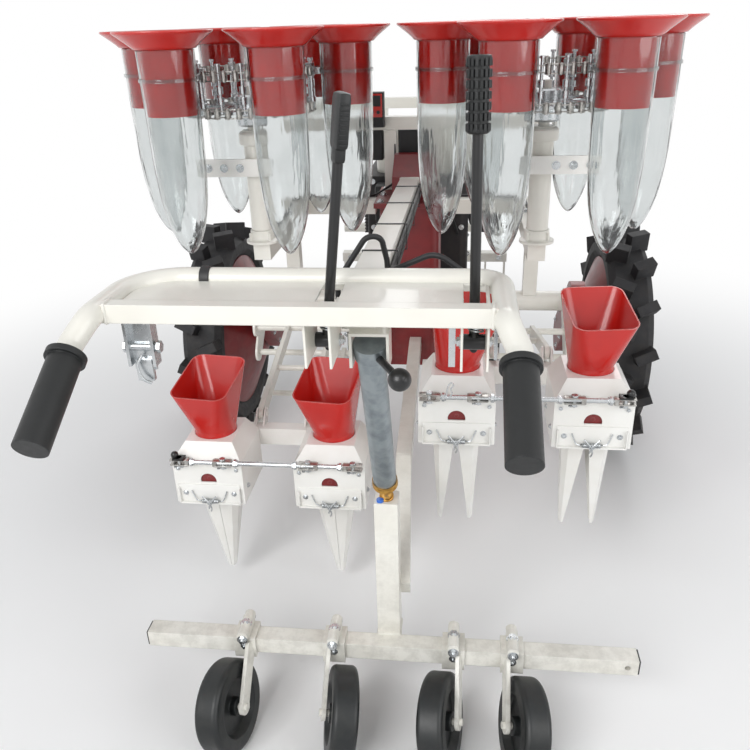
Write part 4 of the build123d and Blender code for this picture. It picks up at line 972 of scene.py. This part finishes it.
    def cups(self) -> None:
        """The smooth clear cups with a lip at the mouth."""
        mould = Mould()
        outer = [(self.cup_r * share, -self.length * depth) for depth, share in self.nose]
        inner_r = self.cup_r - self.wall
        inner_length = self.length - self.wall
        inner = [(inner_r * share, -inner_length * depth) for depth, share in reversed(self.nose)]
        profile = [(self.cup_r - 1.0, 0.0), (self.cup_r, -0.8)] + outer[1:] + inner
        for out in self.outs():
            spot = self.middle + out * self.circle
            mould.lathe(Matrix.Translation((spot.x, spot.y, self.mouth_z)), profile, 56, True)
        word = self.side.word
        mould.finish(f"moulded_cups_{word}", self.body, CLEAR, (f"clear_cups_{word}",))

    def funnels(self) -> None:
        """The red trumpet mouths, with a rolled rim and a collar inside the cup."""
        mould = Mould()
        neck = self.cup_r - self.wall - 0.4
        inner = neck - self.wall
        lip = self.lip_r
        outer = [(lip - 2.2, 0.0), (lip - 0.6, -0.5), (lip, -2.0), (lip - 0.6, -3.6), (lip - 4.0, -6.0),
                 (72.0, -12.0), (64.0, -18.0), (57.0, -24.0), (52.5, -28.4), (neck + 0.2, -29.6),
                 (neck, -31.0), (neck - 1.6, -self.collar)]
        inside = [(neck - 1.6 - self.wall, -self.collar), (inner, -33.0), (inner + 0.8, -29.0),
                  (50.0, -25.4), (55.0, -20.8), (62.0, -15.0), (70.0, -9.0), (lip - 6.0, -3.4),
                  (lip - 4.0, -0.8)]
        for out in self.outs():
            spot = self.middle + out * self.circle
            mould.lathe(Matrix.Translation((spot.x, spot.y, self.rim_z)), outer + inside, 64, True)
        word = self.side.word
        mould.finish(f"funnels_{word}", self.body, RED_PLASTIC, (f"cup_funnels_{word}",))

    def build(self) -> None:
        """Builds the whole carousel."""
        self.wheel()
        self.funnels()
        self.chains()
        self.cups()


@dataclass
class Planters:
    """The small parts on one pair of planter boxes and the rod that opens the jaws."""

    side: Side
    row: float = 257.0
    rear_y: float = -420.0
    low_z: float = 40.0
    lift: float = 164.0
    jaw_length: float = 235.0
    box_width: float = 148.0
    box_height: float = 100.0
    rod_r: float = 5.0

    @property
    def body(self) -> str:
        """The body that rises and falls."""
        return f"planters_{self.side.word}"

    @property
    def bottom(self) -> float:
        """The height of the lower edge of the boxes."""
        raised = self.lift if self.side is Side.RIGHT else 0.0
        return self.low_z + raised + self.jaw_length - 14.0

    def rows(self) -> tuple[float, float]:
        """The middle of both boxes, from left to right."""
        inner, outer = sorted((self.side.value * self.row * 0.5, self.side.value * self.row * 1.5))
        return inner, outer

    def plates(self) -> None:
        """A folded plate on the rear of each box, with its stiffening lip."""
        mould = Mould()
        y = self.rear_y
        for x in self.rows():
            z = self.bottom
            mould.box((x - 66, y - 2.4, z + 3), (x + 66, y + 0.2, z + 47), 0.8)
            mould.box((x - 66, y - 8, z + 1), (x + 66, y - 0.2, z + 4.5), 0.8)
            for hand in (-1, 1):
                mould.box((x + hand * 66, y - 9, z + 3), (x + hand * 63.4, y, z + 40), 0.6)
            mould.box((x - 71, y - 1.6, z + 92), (x + 71, y + 0.6, z + 101), 0.8)
        mould.finish(f"box_plates_{self.side.word}", self.body, WHITE)

    def heads(self) -> None:
        """The screws of the plates and the heads of the jaw pins."""
        screws = Fasteners(f"box_screws_{self.side.word}", self.body, ZINC)
        for x in self.rows():
            for hand in (-1, 1):
                screws.add((x + hand * 52, self.rear_y - 2.6, self.bottom + 26), (0, -1, 0), 4.2)
                screws.add((x + hand * 62, self.rear_y - 1.8, self.bottom + 84), (0, -1, 0), 3.0)
                outer = x + hand * (self.box_width / 2 + 0.3)
                for back in (28, 112):
                    screws.add((outer, self.rear_y + back, self.bottom + 30), (hand, 0, 0), 4.4)
        screws.build()

    def windows(self) -> None:
        """The red tube end that shows in the half-round window of each box; its dark red enamel is the tube's
        red with painted shade from inside the box.
        """
        mould = Mould()
        y, z = self.rear_y, self.bottom
        for x in self.rows():
            mould.bar((x, y + 4, z + 56), (x, y + 9, z + 56), 21.0, 40)
            mould.bar((x, y + 3.4, z + 60), (x, y + 6, z + 60), 4.0)
        # dark red enamel: the red tube, darkened with painted shade from inside the box
        mould.finish(f"window_tubes_{self.side.word}", self.body, DARK_RED)

    def springs(self) -> None:
        """The closing spring below each plate and the hooks that it pulls on."""
        mould = Mould()
        y = self.rear_y - 7.0
        z = self.bottom + 9.0
        for number, x in enumerate(self.rows()):
            Coil(f"jaw_spring_{self.side.word}_{number + 1}", self.body, ZINC, 4.6, 0.9, 2.3).build(
                (x - 17, y, z), (x + 17, y, z))
            for hand in (-1, 1):
                mould.wire([(x + hand * 17, y + 4.4, z), (x + hand * 22, y, z), (x + hand * 29, y, z + 2),
                            (x + hand * 33, y + 1, z + 11), (x + hand * 38, y + 2, z + 24)], 1.4, 8, 4.0)
            mould.wire([(x - 15, y - 5, z + 15), (x, y - 6, z - 2), (x + 3, y - 5, z - 16),
                        (x, y - 2, z - 24)], 1.7, 8, 6.0)
            mould.wire([(x + 15, y - 5, z + 15), (x, y - 6, z - 1), (x - 3, y - 5, z - 15)], 1.7, 8, 6.0)
            mould.lathe(aimed((x, y - 5, z - 1), (0, -1, 0)),
                        [(3.4, -1.6), (5.6, -1.6), (5.6, 1.6), (3.4, 1.6)], 20, True)
        mould.finish(f"spring_hooks_{self.side.word}", self.body, ZINC)

    def rod_places(self) -> tuple[float, float, tuple[float, float, float, float]]:
        """Depth and height of the rod, and where its forks are."""
        left, right = self.rows()
        z = self.bottom + self.box_height + 8.0
        return self.rear_y - 12.0, z, (left - 52, left + 40, right - 40, right + 52)

    def rods(self) -> None:
        """The rod with its lock nuts and thread, and the cranks below the forks."""
        y, z, places = self.rod_places()
        word = self.side.word
        mould = Mould()
        mould.bar((places[0] + 20, y, z), (places[3] - 20, y, z), self.rod_r - 0.4)
        for x, way in ((places[1] + 23, 1), (places[2] - 23, -1), (places[0] + 23, 1), (places[3] - 23, -1)):
            mould.bar((x, y, z), (x + way * 6, y, z), 8.4, 6)
            mould.bar((x + way * 6.5, y, z), (x + way * 9, y, z), 7.0, 6)
        mould.finish(f"jaw_rod_{word}", self.body, ZINC, (f"tie_rods_{word}",))
        thread = Coil(f"rod_thread_{word}", self.body, ZINC, self.rod_r - 0.4, 0.45, 1.6)
        thread.build((places[1] + 32, y, z), (places[1] + 62, y, z))
        forks = Mould()
        for x in places:
            for up in (-1, 1):
                forks.box((x - 19, y - 7, z + up * 4.2), (x + 19, y + 7, z + up * 6.8), 0.8)
            closed = 1 if x in (places[0], places[2]) else -1
            forks.box((x + closed * 12, y - 6.5, z - 6.5), (x + closed * 21, y + 6.5, z + 6.5), 1.2)
        forks.finish(f"rod_forks_{word}", self.body, CHAIN_STEEL)
        pins = Mould()
        for x in places:
            pins.bar((x, y, z - 14), (x, y, z + 10), 4.0)
            pins.bar((x, y, z + 7), (x, y, z + 11), 6.6)
            pins.box((x - 6, y, z - 15), (x + 6, y + 12, z - 9), 0.8)
            pins.wire([(x - 6, y - 5, z - 9.5), (x + 8, y + 3, z - 9.5)], 0.9, 8)
            pins.lathe(aimed((x - 8, y - 6, z - 9.5), (0, 0, 1)),
                       [(1.4, -0.9), (3.4, -0.9), (3.4, 0.9), (1.4, 0.9)], 14, True)
        pins.finish(f"fork_pins_{word}", self.body, ZINC)

    def outer_lever(self) -> None:
        """The black ball joint and bent lever at the outer end of the rod."""
        y, z, places = self.rod_places()
        way = self.side.value
        x = places[0] if way < 0 else places[3]
        mould = Mould()
        mould.ball((x + way * 8, y, z + 16), 8.0)
        mould.bar((x + way * 8, y, z + 2), (x + way * 8, y, z + 14), 4.0)
        mould.wire([(x + way * 8, y, z + 17), (x + way * 17, y + 10, z + 8), (x + way * 17, y + 34, z - 10),
                    (x + way * 8, y + 60, z - 22)], 4.2, 12, 10.0)
        mould.bar((x + way * 2, y + 60, z - 22), (x + way * 16, y + 60, z - 22), 8.0)
        mould.box((x - 12, y - 10, z + 7), (x + 12, y + 10, z + 11), 1.0)
        mould.finish(f"rod_ball_joint_{self.side.word}", self.body, BLACK)

    def clip(self) -> None:
        """The spring clip through the innermost fork pin of the raised pair."""
        y, z, places = self.rod_places()
        x = places[0] + 36
        mould = Mould()
        mould.wire([(x - 4, y - 12, z + 8), (x - 1, y - 13, z + 30), (x + 6, y - 13, z + 38),
                    (x + 10, y - 12, z + 31), (x + 3, y - 12, z + 22), (x + 8, y - 12, z + 14),
                    (x + 2, y - 11, z + 6)], 1.5, 8, 5.0)
        mould.finish("spring_clip", self.body, ZINC)

    def build(self) -> None:
        """Builds every part of the pair."""
        self.plates()
        self.heads()
        self.windows()
        self.springs()
        self.rods()
        self.outer_lever()
        if self.side is Side.RIGHT:
            self.clip()


@dataclass
class LeverGrips:
    """The two grips on the levers: a round one with blocks, and a flat one with cross ribs."""

    right_base: Point = (149.0, -815.0, 808.0)
    right_top: Point = (146.0, -800.0, 1143.0)
    left_base: Point = (-40.0, -815.0, 808.0)
    left_top: Point = (-8.0, -800.0, 1108.0)
    right_length: float = 83.0
    left_length: float = 72.0

    def blocks_tree(self, tree: Tree, source: dict) -> Socket:
        """Rings of raised blocks, one ring above the other."""
        knob = add_node(tree, "GeometryNodeMeshCube", {"Size": (3.6, 3.4, 8.4)}).outputs[0]
        return in_row(tree, source["Rings"], around(tree, source, knob), 7.0, 11.4)

    def ribs_tree(self, tree: Tree, source: dict) -> Socket:
        """Cross ribs up the flat grip."""
        rib = add_node(tree, "GeometryNodeMeshCube", {"Size": (33.6, 10.0, 2.6)}).outputs[0]
        return in_row(tree, source["Ribs"], rib, 14.0, 5.6)

    def build(self) -> None:
        """Makes both grips."""
        along = (Vector(self.right_top) - Vector(self.right_base)).normalized()
        foot = Vector(self.right_top) - along * self.right_length
        mould = Mould()
        length = self.right_length
        mould.lathe(aimed(foot, along), [(0.0, 0.0), (11.0, 0.0), (13.4, 2.0), (13.4, 5.0), (11.6, 7.0),
                                         (11.6, length - 7), (13.6, length - 5), (13.6, length - 1.5),
                                         (11.5, length), (0.0, length)], 40)
        paddle = aimed(Vector(self.left_top) - (Vector(self.left_top) - Vector(self.left_base)).normalized()
                       * self.left_length, Vector(self.left_top) - Vector(self.left_base))
        mould.box((-15.8, -8.5, 8.0), (15.8, 8.5, self.left_length), 8.0, paddle)
        mould.box((-10.5, -7.5, -8.0), (10.5, 7.5, 24.0), 6.0, paddle)
        mould.finish("grip_cores", "chassis", GRIP, ("lever_grips",))
        values = {"Count": 16, "Radius": 12.6, "Step": math.tau / 16, "Rings": 7}
        Grower("grip_blocks", "chassis", GRIP, values).run(self.blocks_tree, aimed(foot, along))
        Grower("grip_ribs", "chassis", GRIP, {"Ribs": 9}).run(self.ribs_tree, paddle)


@dataclass
class PressTrain:
    """Bolts, plugs and collars on the press wheel bar and on the depth screw."""

    bar_y: float = -690.0
    bar_z: float = 155.0
    bar_half: float = 16.0
    bar_ends: tuple[float, float] = (-430.0, 450.0)
    clamps: tuple[float, ...] = (-245.3, -81.7, 131.7, 234.3)
    post: Point = (15.0, -655.0, 455.0)
    screw_top: Point = (15.0, -800.0, 782.0)

    def bolts(self) -> None:
        """Clamp bolts from above and behind, and the nuts of the wheel axles."""
        bolts = Fasteners("clamp_bolts", "chassis", ZINC)
        up = self.bar_z + self.bar_half + 6.0
        for x in self.clamps:
            bolts.add((x, self.bar_y, up + 14.0), (0, 0, 1), 8.0)
            bolts.add((x, self.bar_y - 30.2, up + 4.0), (0, -1, 0), 7.0)
            bolts.add((x, self.bar_y + 30.2, up + 4.0), (0, 1, 0), 7.0)
            bolts.add((x, self.bar_y - 22.2, self.bar_z + 4.0), (0, -1, 0), 5.5)
        bolts.build()

    def plugs(self) -> None:
        """Black end plugs in the bar, and the blue one on the post."""
        mould = Mould()
        h = self.bar_half
        for x, way in zip(self.bar_ends, (-1, 1)):
            mould.box((x + way * 0.2, self.bar_y - h + 1, self.bar_z - h + 1),
                      (x + way * 3.0, self.bar_y + h - 1, self.bar_z + h - 1), 1.2)
        mould.finish("bar_plugs", "chassis", BLACK_PLASTIC)
        plug = Mould()
        x, y, z = self.post
        plug.bar((x - 10, y - 12, z - 0.5), (x - 10, y - 12, z + 5), 6.0)
        plug.finish("post_plug", "chassis", BLUE_PLUG)

    def screw(self) -> None:
        """Thread, brass collar, lock nut and end cap of the depth screw."""
        foot = Vector(self.post)
        line = (Vector(self.screw_top) - foot).normalized()
        Coil("screw_thread", "chassis", YELLOW_ZINC, 9.0, 1.1, 4.0).build(foot + line * 2, foot + line * 46)
        mould = Mould()
        mould.bar(foot + line * 32, foot + line * 44, 14.0, 6, 1.6)
        mould.lathe(aimed(foot + line * 44, line), [(19.6, 0), (21.2, 0), (21.2, 3), (20.6, 4), (20.6, 12),
                                                   (19.6, 12)], 40, True)
        mould.bar(foot + line * 1, foot + line * 8, 12.0, 32, 1.0)
        mould.finish("screw_collars", "chassis", YELLOW_ZINC)

    def build(self) -> None:
        """Builds all of it."""
        self.bolts()
        self.plugs()
        self.screw()


@dataclass
class EngineDetail:
    """What shows on the engine: fins, starter grille, air cleaner, lead, tank cap and screws."""

    half_x: float = 150.0
    rear_y: float = 505.0
    front_y: float = 795.0
    base_z: float = 470.0
    height: float = 300.0
    middle_y: float = 650.0

    def fin_tree(self, tree: Tree, source: dict) -> Socket:
        """Cooling fins one above the other."""
        fin = add_node(tree, "GeometryNodeMeshCube", {"Size": (18.0, 170.0, 3.0)}).outputs[0]
        return in_row(tree, source["Fins"], fin, 0.0, 9.5)

    def slot_tree(self, tree: Tree, source: dict) -> Socket:
        """Raised bars like the spokes of the starter grille."""
        bar = add_node(tree, "GeometryNodeMeshCube", {"Size": (52.0, 7.0, 5.0)}).outputs[0]
        return around(tree, source, bar)

    def knurl_tree(self, tree: Tree, source: dict) -> Socket:
        """Ribs round the tank cap."""
        rib = add_node(tree, "GeometryNodeMeshCube", {"Size": (3.0, 3.4, 15.0)}).outputs[0]
        return around(tree, source, rib)

    def build(self) -> None:
        """Builds all of it."""
        flank = Matrix.Translation((-self.half_x - 6.0, self.middle_y, self.base_z + 120.0))
        fan = aimed((0.0, self.front_y + 26.0, self.base_z + self.height / 2), (0, 1, 0))
        cap = Matrix.Translation((-70.0, self.middle_y, self.base_z + self.height + 140.0))
        Grower("cooling_fins", "chassis", CASTING, {"Fins": 13}).run(self.fin_tree, flank)
        for name, tree, count, radius, place in (("starter_grille", self.slot_tree, 20, 66.0, fan),
                                                 ("cap_ribs", self.knurl_tree, 24, 26.6, cap)):
            values = {"Count": count, "Radius": radius, "Step": math.tau / count}
            Grower(name, "chassis", BLACK_PLASTIC, values).run(tree, place)
        mould = Mould()
        mould.lathe(fan, [(0, 0), (36, 0), (40, 3), (40, 9), (34, 13), (0, 13)], 48)
        y, z = self.rear_y, self.base_z
        mould.box((-118, y - 62, z + 175), (-10, y + 3, z + 285), 10.0)
        mould.box((-104, y - 68, z + 190), (-24, y - 60, z + 270), 4.0)
        mould.bar((30, y - 40, z + 215), (30, y + 4, z + 215), 24.0, 32, 3.0)
        mould.finish("air_cleaner", "chassis", BLACK_PLASTIC)
        lead = Mould()
        lead.wire([(60, y - 4, z + 250), (80, y - 40, z + 240), (110, y - 36, z + 170),
                   (120, y + 2, z + 130)], 4.0, 12, 24.0)
        lead.bar((60, y - 24, z + 250), (60, y + 2, z + 250), 9.0, 20, 2.0)
        lead.finish("ignition_lead", "chassis", GRIP)
        heads = Fasteners("engine_screws", "chassis", ZINC)
        for x in (-130, -60, 60, 130):
            for z in (20, 150, 285):
                heads.add((x, self.rear_y - 0.4, self.base_z + z), (0, -1, 0), 6.0)
                heads.add((x * 0.9, self.front_y + 0.4, self.base_z + z), (0, 1, 0), 5.0)
        for z in (60, 240):
            for y in (540, 760):
                heads.add((self.half_x + 0.4, y, self.base_z + z), (1, 0, 0), 6.0)
                heads.add((-self.half_x - 0.4, y, self.base_z + z * 0.35), (-1, 0, 0), 6.0)
        heads.build()


@dataclass
class FrameDetail:
    """Bolts, weld beads, wires and the display on the frame, the handlebar and the rack."""

    handle_x: float = -64.0
    handle_half: float = 248.0
    bar_y: float = -880.0
    front_y: float = -748.0
    handle_z: float = 868.0
    gear_half: float = 75.0
    case_x: float = 432.0
    case_top: tuple[float, float] = (205.0, 500.0)
    case_foot: tuple[float, float] = (410.0, 325.0)
    case_across: tuple[float, float] = (0.649, 0.761)
    column: tuple[float, float] = (280.0, -200.0)
    levers: tuple[float, float] = (-40.0, 149.0)
    beam_front: tuple[float, float] = (215.0, 800.0)
    beam_rear: tuple[float, float] = (-800.0, 840.0)
    ties: tuple[float, ...] = (-560.0, -360.0, -150.0, 60.0)

    def bolts(self) -> None:
        """The heads on the gearbox lid, the chain cases, the lift pins and the lever plates."""
        heads = Fasteners("frame_bolts", "chassis", ZINC)
        for x in (-72, 72):
            for y in (165, 250, 330):
                heads.add((x, y, 770.3), (0, 0, 1), 7.0)
        for way in (-1, 1):
            face = way * (self.case_x + 18.3)
            back = way * (self.case_x - 18.3)
            for t in (0.06, 0.36, 0.66, 0.94):
                for across in (-40, 40):
                    y, z = (top + (foot - top) * t + across * share for top, foot, share in
                            zip(self.case_top, self.case_foot, self.case_across))
                    if t < 0.8:
                        heads.add((face, y, z), (way, 0, 0), 5.5)
                    heads.add((back, y, z), (-way, 0, 0), 5.5)
            for z in (387, 457):
                heads.add((way * (self.gear_half - 2.6), 95, z), (-way, 0, 0), 7.0)
            for y in (-150, 60):
                heads.add((way * self.column[0], y, 769.8), (0, 0, 1), 6.5)
            heads.add((way * 293.0, 905, 110), (way, 0, 0), 9.0)
            heads.add((way * 207.0, 905, 110), (-way, 0, 0), 9.0)
            for x in (-1, 1):
                heads.add((x * 262.0, 905.0 - 22.3 * way, 415.0), (0, -way, 0), 6.0)
        for x in self.levers:
            for way in (-1, 1):
                heads.add((x + way * 17.4, -815, 808), (way, 0, 0), 6.5)
        heads.build()

    def welds(self) -> None:
        """Beads round the tubes of the handlebar, the post, the press wheel bar, the rack and the stand."""
        welds = Welds("weld_beads", "chassis")
        left, right = self.handle_x - self.handle_half, self.handle_x + self.handle_half
        for x in (left + 15, right - 15):
            welds.square((x, self.bar_y, self.handle_z), (0, 10, 0), (0, 0, 12))
        welds.square((15, -655, 171), (20, 0, 0), (0, 20, 0))
        welds.square((0, 189.6, 801), (22.5, 0, 0), (0, 0, 22.5))
        for way in (-1, 1):
            for x, y, z in ((58, 330, 923), (58, 330, 770.6), (130, 850, 923)):
                welds.square((way * x, y, z), (16, 0, 0), (0, 16, 0))
            welds.square((way * 280, 187.5, 752), (17.5, 0, 0), (0, 0, 17.5))
            welds.square((way * 310, 205, 734.5), (17.5, 0, 0), (0, 17.5, 0))
        welds.build(CREAM)

    def column_feet(self) -> None:
        """Collars below the carousels, plates at the feet of the columns and their ribs."""
        mould = Mould()
        for way in (-1, 1):
            x, y = way * self.column[0], self.column[1]
            for z, profile in ((769.7, ((34, 0), (34, 5), (26, 8), (24, 26), (21.2, 27))),
                               (966, ((27, 0), (29, 3), (29, 20), (26, 24), (21.2, 24)))):
                mould.lathe(Matrix.Translation((x, y, z)), [(21.2, 0), *profile], 40, True)
            for turn in range(4):
                spin = Matrix.Translation((x, y, 0)) @ Matrix.Rotation(math.radians(90 * turn + 45), 4, "Z")
                mould.box((21, -2, 772), (31, 2, 792), 1.0, spin)
        mould.finish("column_collars", "chassis", CREAM)
        self.guide_bars()

    def guide_bars(self) -> None:
        """The white bar across each column, inside its ring of cups, with a row of bolts."""
        mould = Mould()
        heads = Fasteners("guide_bar_bolts", "chassis", ZINC)
        for way in (-1, 1):
            x = way * self.column[0]
            mould.box((x + way * 104, -234, 908), (x - way * 38, -228, 942), 1.2)
            for flank in (-1, 1):
                mould.box((x + flank * 18, -229, 914), (x + flank * 24, -192, 936), 1.0)
            mould.lathe(Matrix.Translation((x, self.column[1], 914)), [
                (21.2, 0), (25, 0), (26, 1.5), (26, 20.5), (25, 22), (21.2, 22)], 40, True)
            for out in (88, 56, 24):
                heads.add((x + way * out, -234.4, 925), (0, -1, 0), 6.0)
        mould.finish("guide_bars", "chassis", WHITE)
        heads.build()

    def wires(self) -> None:
        """The thin wire harness from the rack to both sides and its ties."""
        mould = Mould()
        for way in (-1, 1):
            path = ((46, 316, 888), (46, 312, 790), (74, 300, 774), (96, 226, 773), (270, 218, 773),
                    (284, 180, 773), (284, -150, 773), (284, -176, 790), (284, -176, 960))
            mould.wire([(way * x, y, z) for x, y, z in path], 2.8, 10, 16.0)
        mould.finish("thin_wires", "chassis", BLACK_PLASTIC)
        ties = Mould()
        slope = (self.beam_rear[1] - self.beam_front[1]) / (self.beam_rear[0] - self.beam_front[0])
        for y in self.ties:
            z = self.beam_front[1] + slope * (y - self.beam_front[0])
            for left, low, right, high in ((-24.2, -24.2, 32.2, -22.6), (-24.2, 22.6, 32.2, 24.2),
                                           (-24.4, -24.2, -22.6, 24.2), (31.2, -24.2, 32.6, 24.2)):
                ties.box((left, y - 2.2, z + low), (right, y + 2.2, z + high), 0.4)
            ties.box((-27.6, y - 3.6, z - 4), (-24.0, y + 3.6, z + 4), 0.8)
        ties.finish("cable_ties", "chassis", BLACK_PLASTIC)

    def handle_parts(self) -> None:
        """The black band on the left tube, the adjusters of the cables and the bracket's pins."""
        mould = Mould()
        left = self.handle_x - self.handle_half
        mould.lathe(aimed((left + 92, self.front_y, self.handle_z), (1, 0, 0)),
                    [(15.2, 0), (16.8, 0), (16.8, 13), (15.2, 13)], 40, True)
        for x in self.levers:
            mould.bar((x, -804, 794), (x, -782, 794), 6.5, 6, 0.8)
            mould.bar((x, -782, 794), (x, -764, 794), 5.2, 20, 0.8)
        mould.finish("handle_band_and_adjusters", "chassis", BLACK_PLASTIC)
        silver = Mould()
        silver.bar((-281, self.bar_y, 822), (-241, self.bar_y, 822), 5.0)
        for start, end in ((-284, -280), (-241, -236)):
            silver.bar((start, self.bar_y, 822), (end, self.bar_y, 822), 8.0, 6)
        silver.box((-272, self.bar_y - 4, 776), (-250, self.bar_y + 4, 806), 2.0)
        silver.wire([(-261, self.bar_y - 4, 812), (-268, self.bar_y - 10, 800), (-262, self.bar_y - 12, 782),
                     (-252, self.bar_y - 9, 776)], 2.0, 8, 6.0)
        silver.finish("folding_catch", "chassis", ZINC)
        for side, x in zip(Side, self.levers):
            Coil(f"lever_spring_{side.word}", "chassis", ZINC, 9.4, 1.3, 3.4).build(
                (x + 2, -814, 822), (x + 4, -811, 856))

    def display(self) -> None:
        """The red face of the small display, its dark window and two blank keys."""
        mould = Mould()
        mould.box((-110, 281.4, 958), (-74, 284.4, 1014), 1.4)
        mould.finish("display_face", "chassis", RED_PLASTIC)
        glass = Mould()
        glass.box((-106, 279.8, 984), (-78, 281.8, 1010), 0.8)
        for x in (-100, -84):
            glass.bar((x, 279.0, 970), (x, 281.8, 970), 4.4, 24, 1.0)
        glass.finish("display_window", "chassis", BLACK_PLASTIC)

    def build(self) -> None:
        """Builds all of it."""
        self.bolts()
        self.welds()
        self.column_feet()
        self.wires()
        self.handle_parts()
        self.display()


@dataclass
class Wheels:
    """Nuts and valves of the drive wheels."""

    track_half: float = 575.0
    axle_y: float = 410.0
    axle_z: float = 325.0

    def build(self) -> None:
        """Builds the parts of both drive wheels."""
        for side in Side:
            body = f"drive_wheel_{side.word}"
            way = side.value
            nuts = Fasteners(f"wheel_nuts_{side.word}", body, ZINC)
            for i in range(5):
                angle = math.tau * i / 5
                y = self.axle_y + 27.0 * math.cos(angle)
                z = self.axle_z + 27.0 * math.sin(angle)
                nuts.add((way * (self.track_half - 3.6), y, z), (way, 0, 0), 6.0)
            nuts.build()
            mould = Mould()
            mould.bar((way * (self.track_half + 20), self.axle_y, self.axle_z + 205),
                      (way * (self.track_half + 36), self.axle_y, self.axle_z + 190), 3.6, 16)
            mould.bar((way * (self.track_half + 34), self.axle_y, self.axle_z + 192),
                      (way * (self.track_half + 44), self.axle_y, self.axle_z + 183), 4.6, 16)
            mould.finish(f"tyre_valve_{side.word}", body, BLACK_PLASTIC)


def dress_nodes() -> None:
    """Gives each CAD node its finish."""
    for finish, names in FINISHES.items():
        for name in names:
            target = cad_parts[name]
            target.data.materials.clear()
            target.data.materials.append(Finishes.get(finish))
            log.info("dressed %s with %s", name, finish.name)


@dataclass
class Studio:
    """A pale floor, soft light and the camera behind the machine, on the operator's side."""

    stand: tuple[float, float, float] = (0.13, -1.70, 1.18)
    pitch: float = 25.3
    yaw: float = 7.0
    roll: float = 1.8
    lens_mm: float = 36.0
    floor_half: float = 40.0
    shadow_reach: tuple[float, float] = (0.9, 2.6)
    daylight: float = 0.4
    aim: Point = (0.0, -0.1, 0.5)
    lamp_size: float = 2.4

    def camera(self) -> None:
        """Sets the camera of the photograph."""
        t, p, r = (math.radians(v) for v in (self.pitch, self.yaw, self.roll))
        ahead = Vector((-math.sin(p) * math.cos(t), math.cos(p) * math.cos(t), -math.sin(t)))
        right = Vector((math.cos(p), math.sin(p), 0.0))
        down = ahead.cross(right)
        level = right * math.cos(r) + down * math.sin(r)
        up = right * math.sin(r) - down * math.cos(r)
        data = bpy.data.cameras.new("camera")
        data.lens = self.lens_mm
        data.sensor_width = 36.0
        data.clip_end = 200.0
        camera = bpy.data.objects.new("camera", data)
        turn = Matrix((level, up, -ahead)).transposed().to_4x4()
        camera.matrix_world = Matrix.Translation(self.stand) @ turn
        bpy.context.scene.collection.objects.link(camera)
        bpy.context.scene.camera = camera

    def floor(self) -> None:
        """Lays the pale floor, white where the camera and reflections look past the shadow."""
        mesh = bpy.data.meshes.new("floor")
        h = self.floor_half
        mesh.from_pydata([(-h, -h, 0), (h, -h, 0), (h, h, 0), (-h, h, 0)], [], [(0, 1, 2, 3)])
        made = bpy.data.materials.new("pale_floor")
        made.use_nodes = True
        tree = made.node_tree
        tree.nodes.clear()
        cloth = add_node(tree, "ShaderNodeBsdfDiffuse", {"Color": linear("#fbfbfb")})
        white = add_node(tree, "ShaderNodeEmission", {"Color": (1.0, 1.0, 1.0, 1.0), "Strength": 1.0})
        place = add_node(tree, "ShaderNodeTexCoord").outputs["Object"]
        reach = add_node(tree, "ShaderNodeVectorMath", {0: place}, operation="LENGTH")
        far = add_node(tree, "ShaderNodeMapRange", {
            "Value": reach.outputs["Value"], "From Min": self.shadow_reach[0],
            "From Max": self.shadow_reach[1]}, interpolation_type="SMOOTHSTEP")
        mixed = add_node(tree, "ShaderNodeMixShader", {
            0: far.outputs[0], 1: cloth.outputs[0], 2: white.outputs[0]})
        add_node(tree, "ShaderNodeOutputMaterial", {"Surface": mixed.outputs[0]})
        mesh.materials.append(made)
        floor = bpy.data.objects.new("floor", mesh)
        bpy.context.scene.collection.objects.link(floor)

    def lamp(self, name: str, place: Point, power: float) -> None:
        """Hangs one soft square lamp that looks at the machine.

        Args:
            name: The lamp's name.
            place: Where it hangs.
            power: Its power in watts.
        """
        data = bpy.data.lights.new(name, "AREA")
        data.size = self.lamp_size
        data.energy = power
        lamp = bpy.data.objects.new(name, data)
        lamp.location = place
        lamp.rotation_mode = "QUATERNION"
        lamp.rotation_quaternion = (Vector(self.aim) - Vector(place)).to_track_quat("-Z", "Y")
        bpy.context.scene.collection.objects.link(lamp)

    def sky(self) -> None:
        """A soft white surround: plain white to the camera, in gloss and through clear plastic."""
        world = bpy.data.worlds.new("surround")
        world.use_nodes = True
        tree = world.node_tree
        tree.nodes.clear()
        ray = add_node(tree, "ShaderNodeLightPath").outputs
        seen = ray["Is Camera Ray"]
        for kind in ("Is Transmission Ray", "Is Glossy Ray"):
            seen = add_node(tree, "ShaderNodeMath", {0: seen, 1: ray[kind]}, operation="MAXIMUM").outputs[0]
        light = add_node(tree, "ShaderNodeBackground", {
            "Color": linear("#eef1f4"), "Strength": self.daylight})
        white = add_node(tree, "ShaderNodeBackground", {"Color": (1.0, 1.0, 1.0, 1.0), "Strength": 1.0})
        mixed = add_node(tree, "ShaderNodeMixShader", {
            0: seen, 1: light.outputs[0], 2: white.outputs[0]})
        add_node(tree, "ShaderNodeOutputWorld", {"Surface": mixed.outputs[0]})
        bpy.context.scene.world = world

    def build(self) -> None:
        """Sets up the whole studio."""
        bpy.context.scene.view_settings.view_transform = "Standard"
        self.camera()
        self.floor()
        self.sky()
        self.lamp("key_lamp", (-1.6, -3.9, 2.9), 120.0)
        self.lamp("fill_lamp", (3.0, -2.4, 2.0), 50.0)
        self.lamp("back_lamp", (0.6, 3.4, 3.2), 52.0)


def main() -> None:
    """Builds every sub-assembly in order."""
    logging.basicConfig(level=logging.INFO, format="%(message)s")
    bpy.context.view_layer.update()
    Studio().build()
    dress_nodes()
    for side in Side:
        Carousel(side).build()
        Planters(side).build()
    LeverGrips().build()
    PressTrain().build()
    EngineDetail().build()
    FrameDetail().build()
    Wheels().build()


if __name__ == "__main__":
    main()
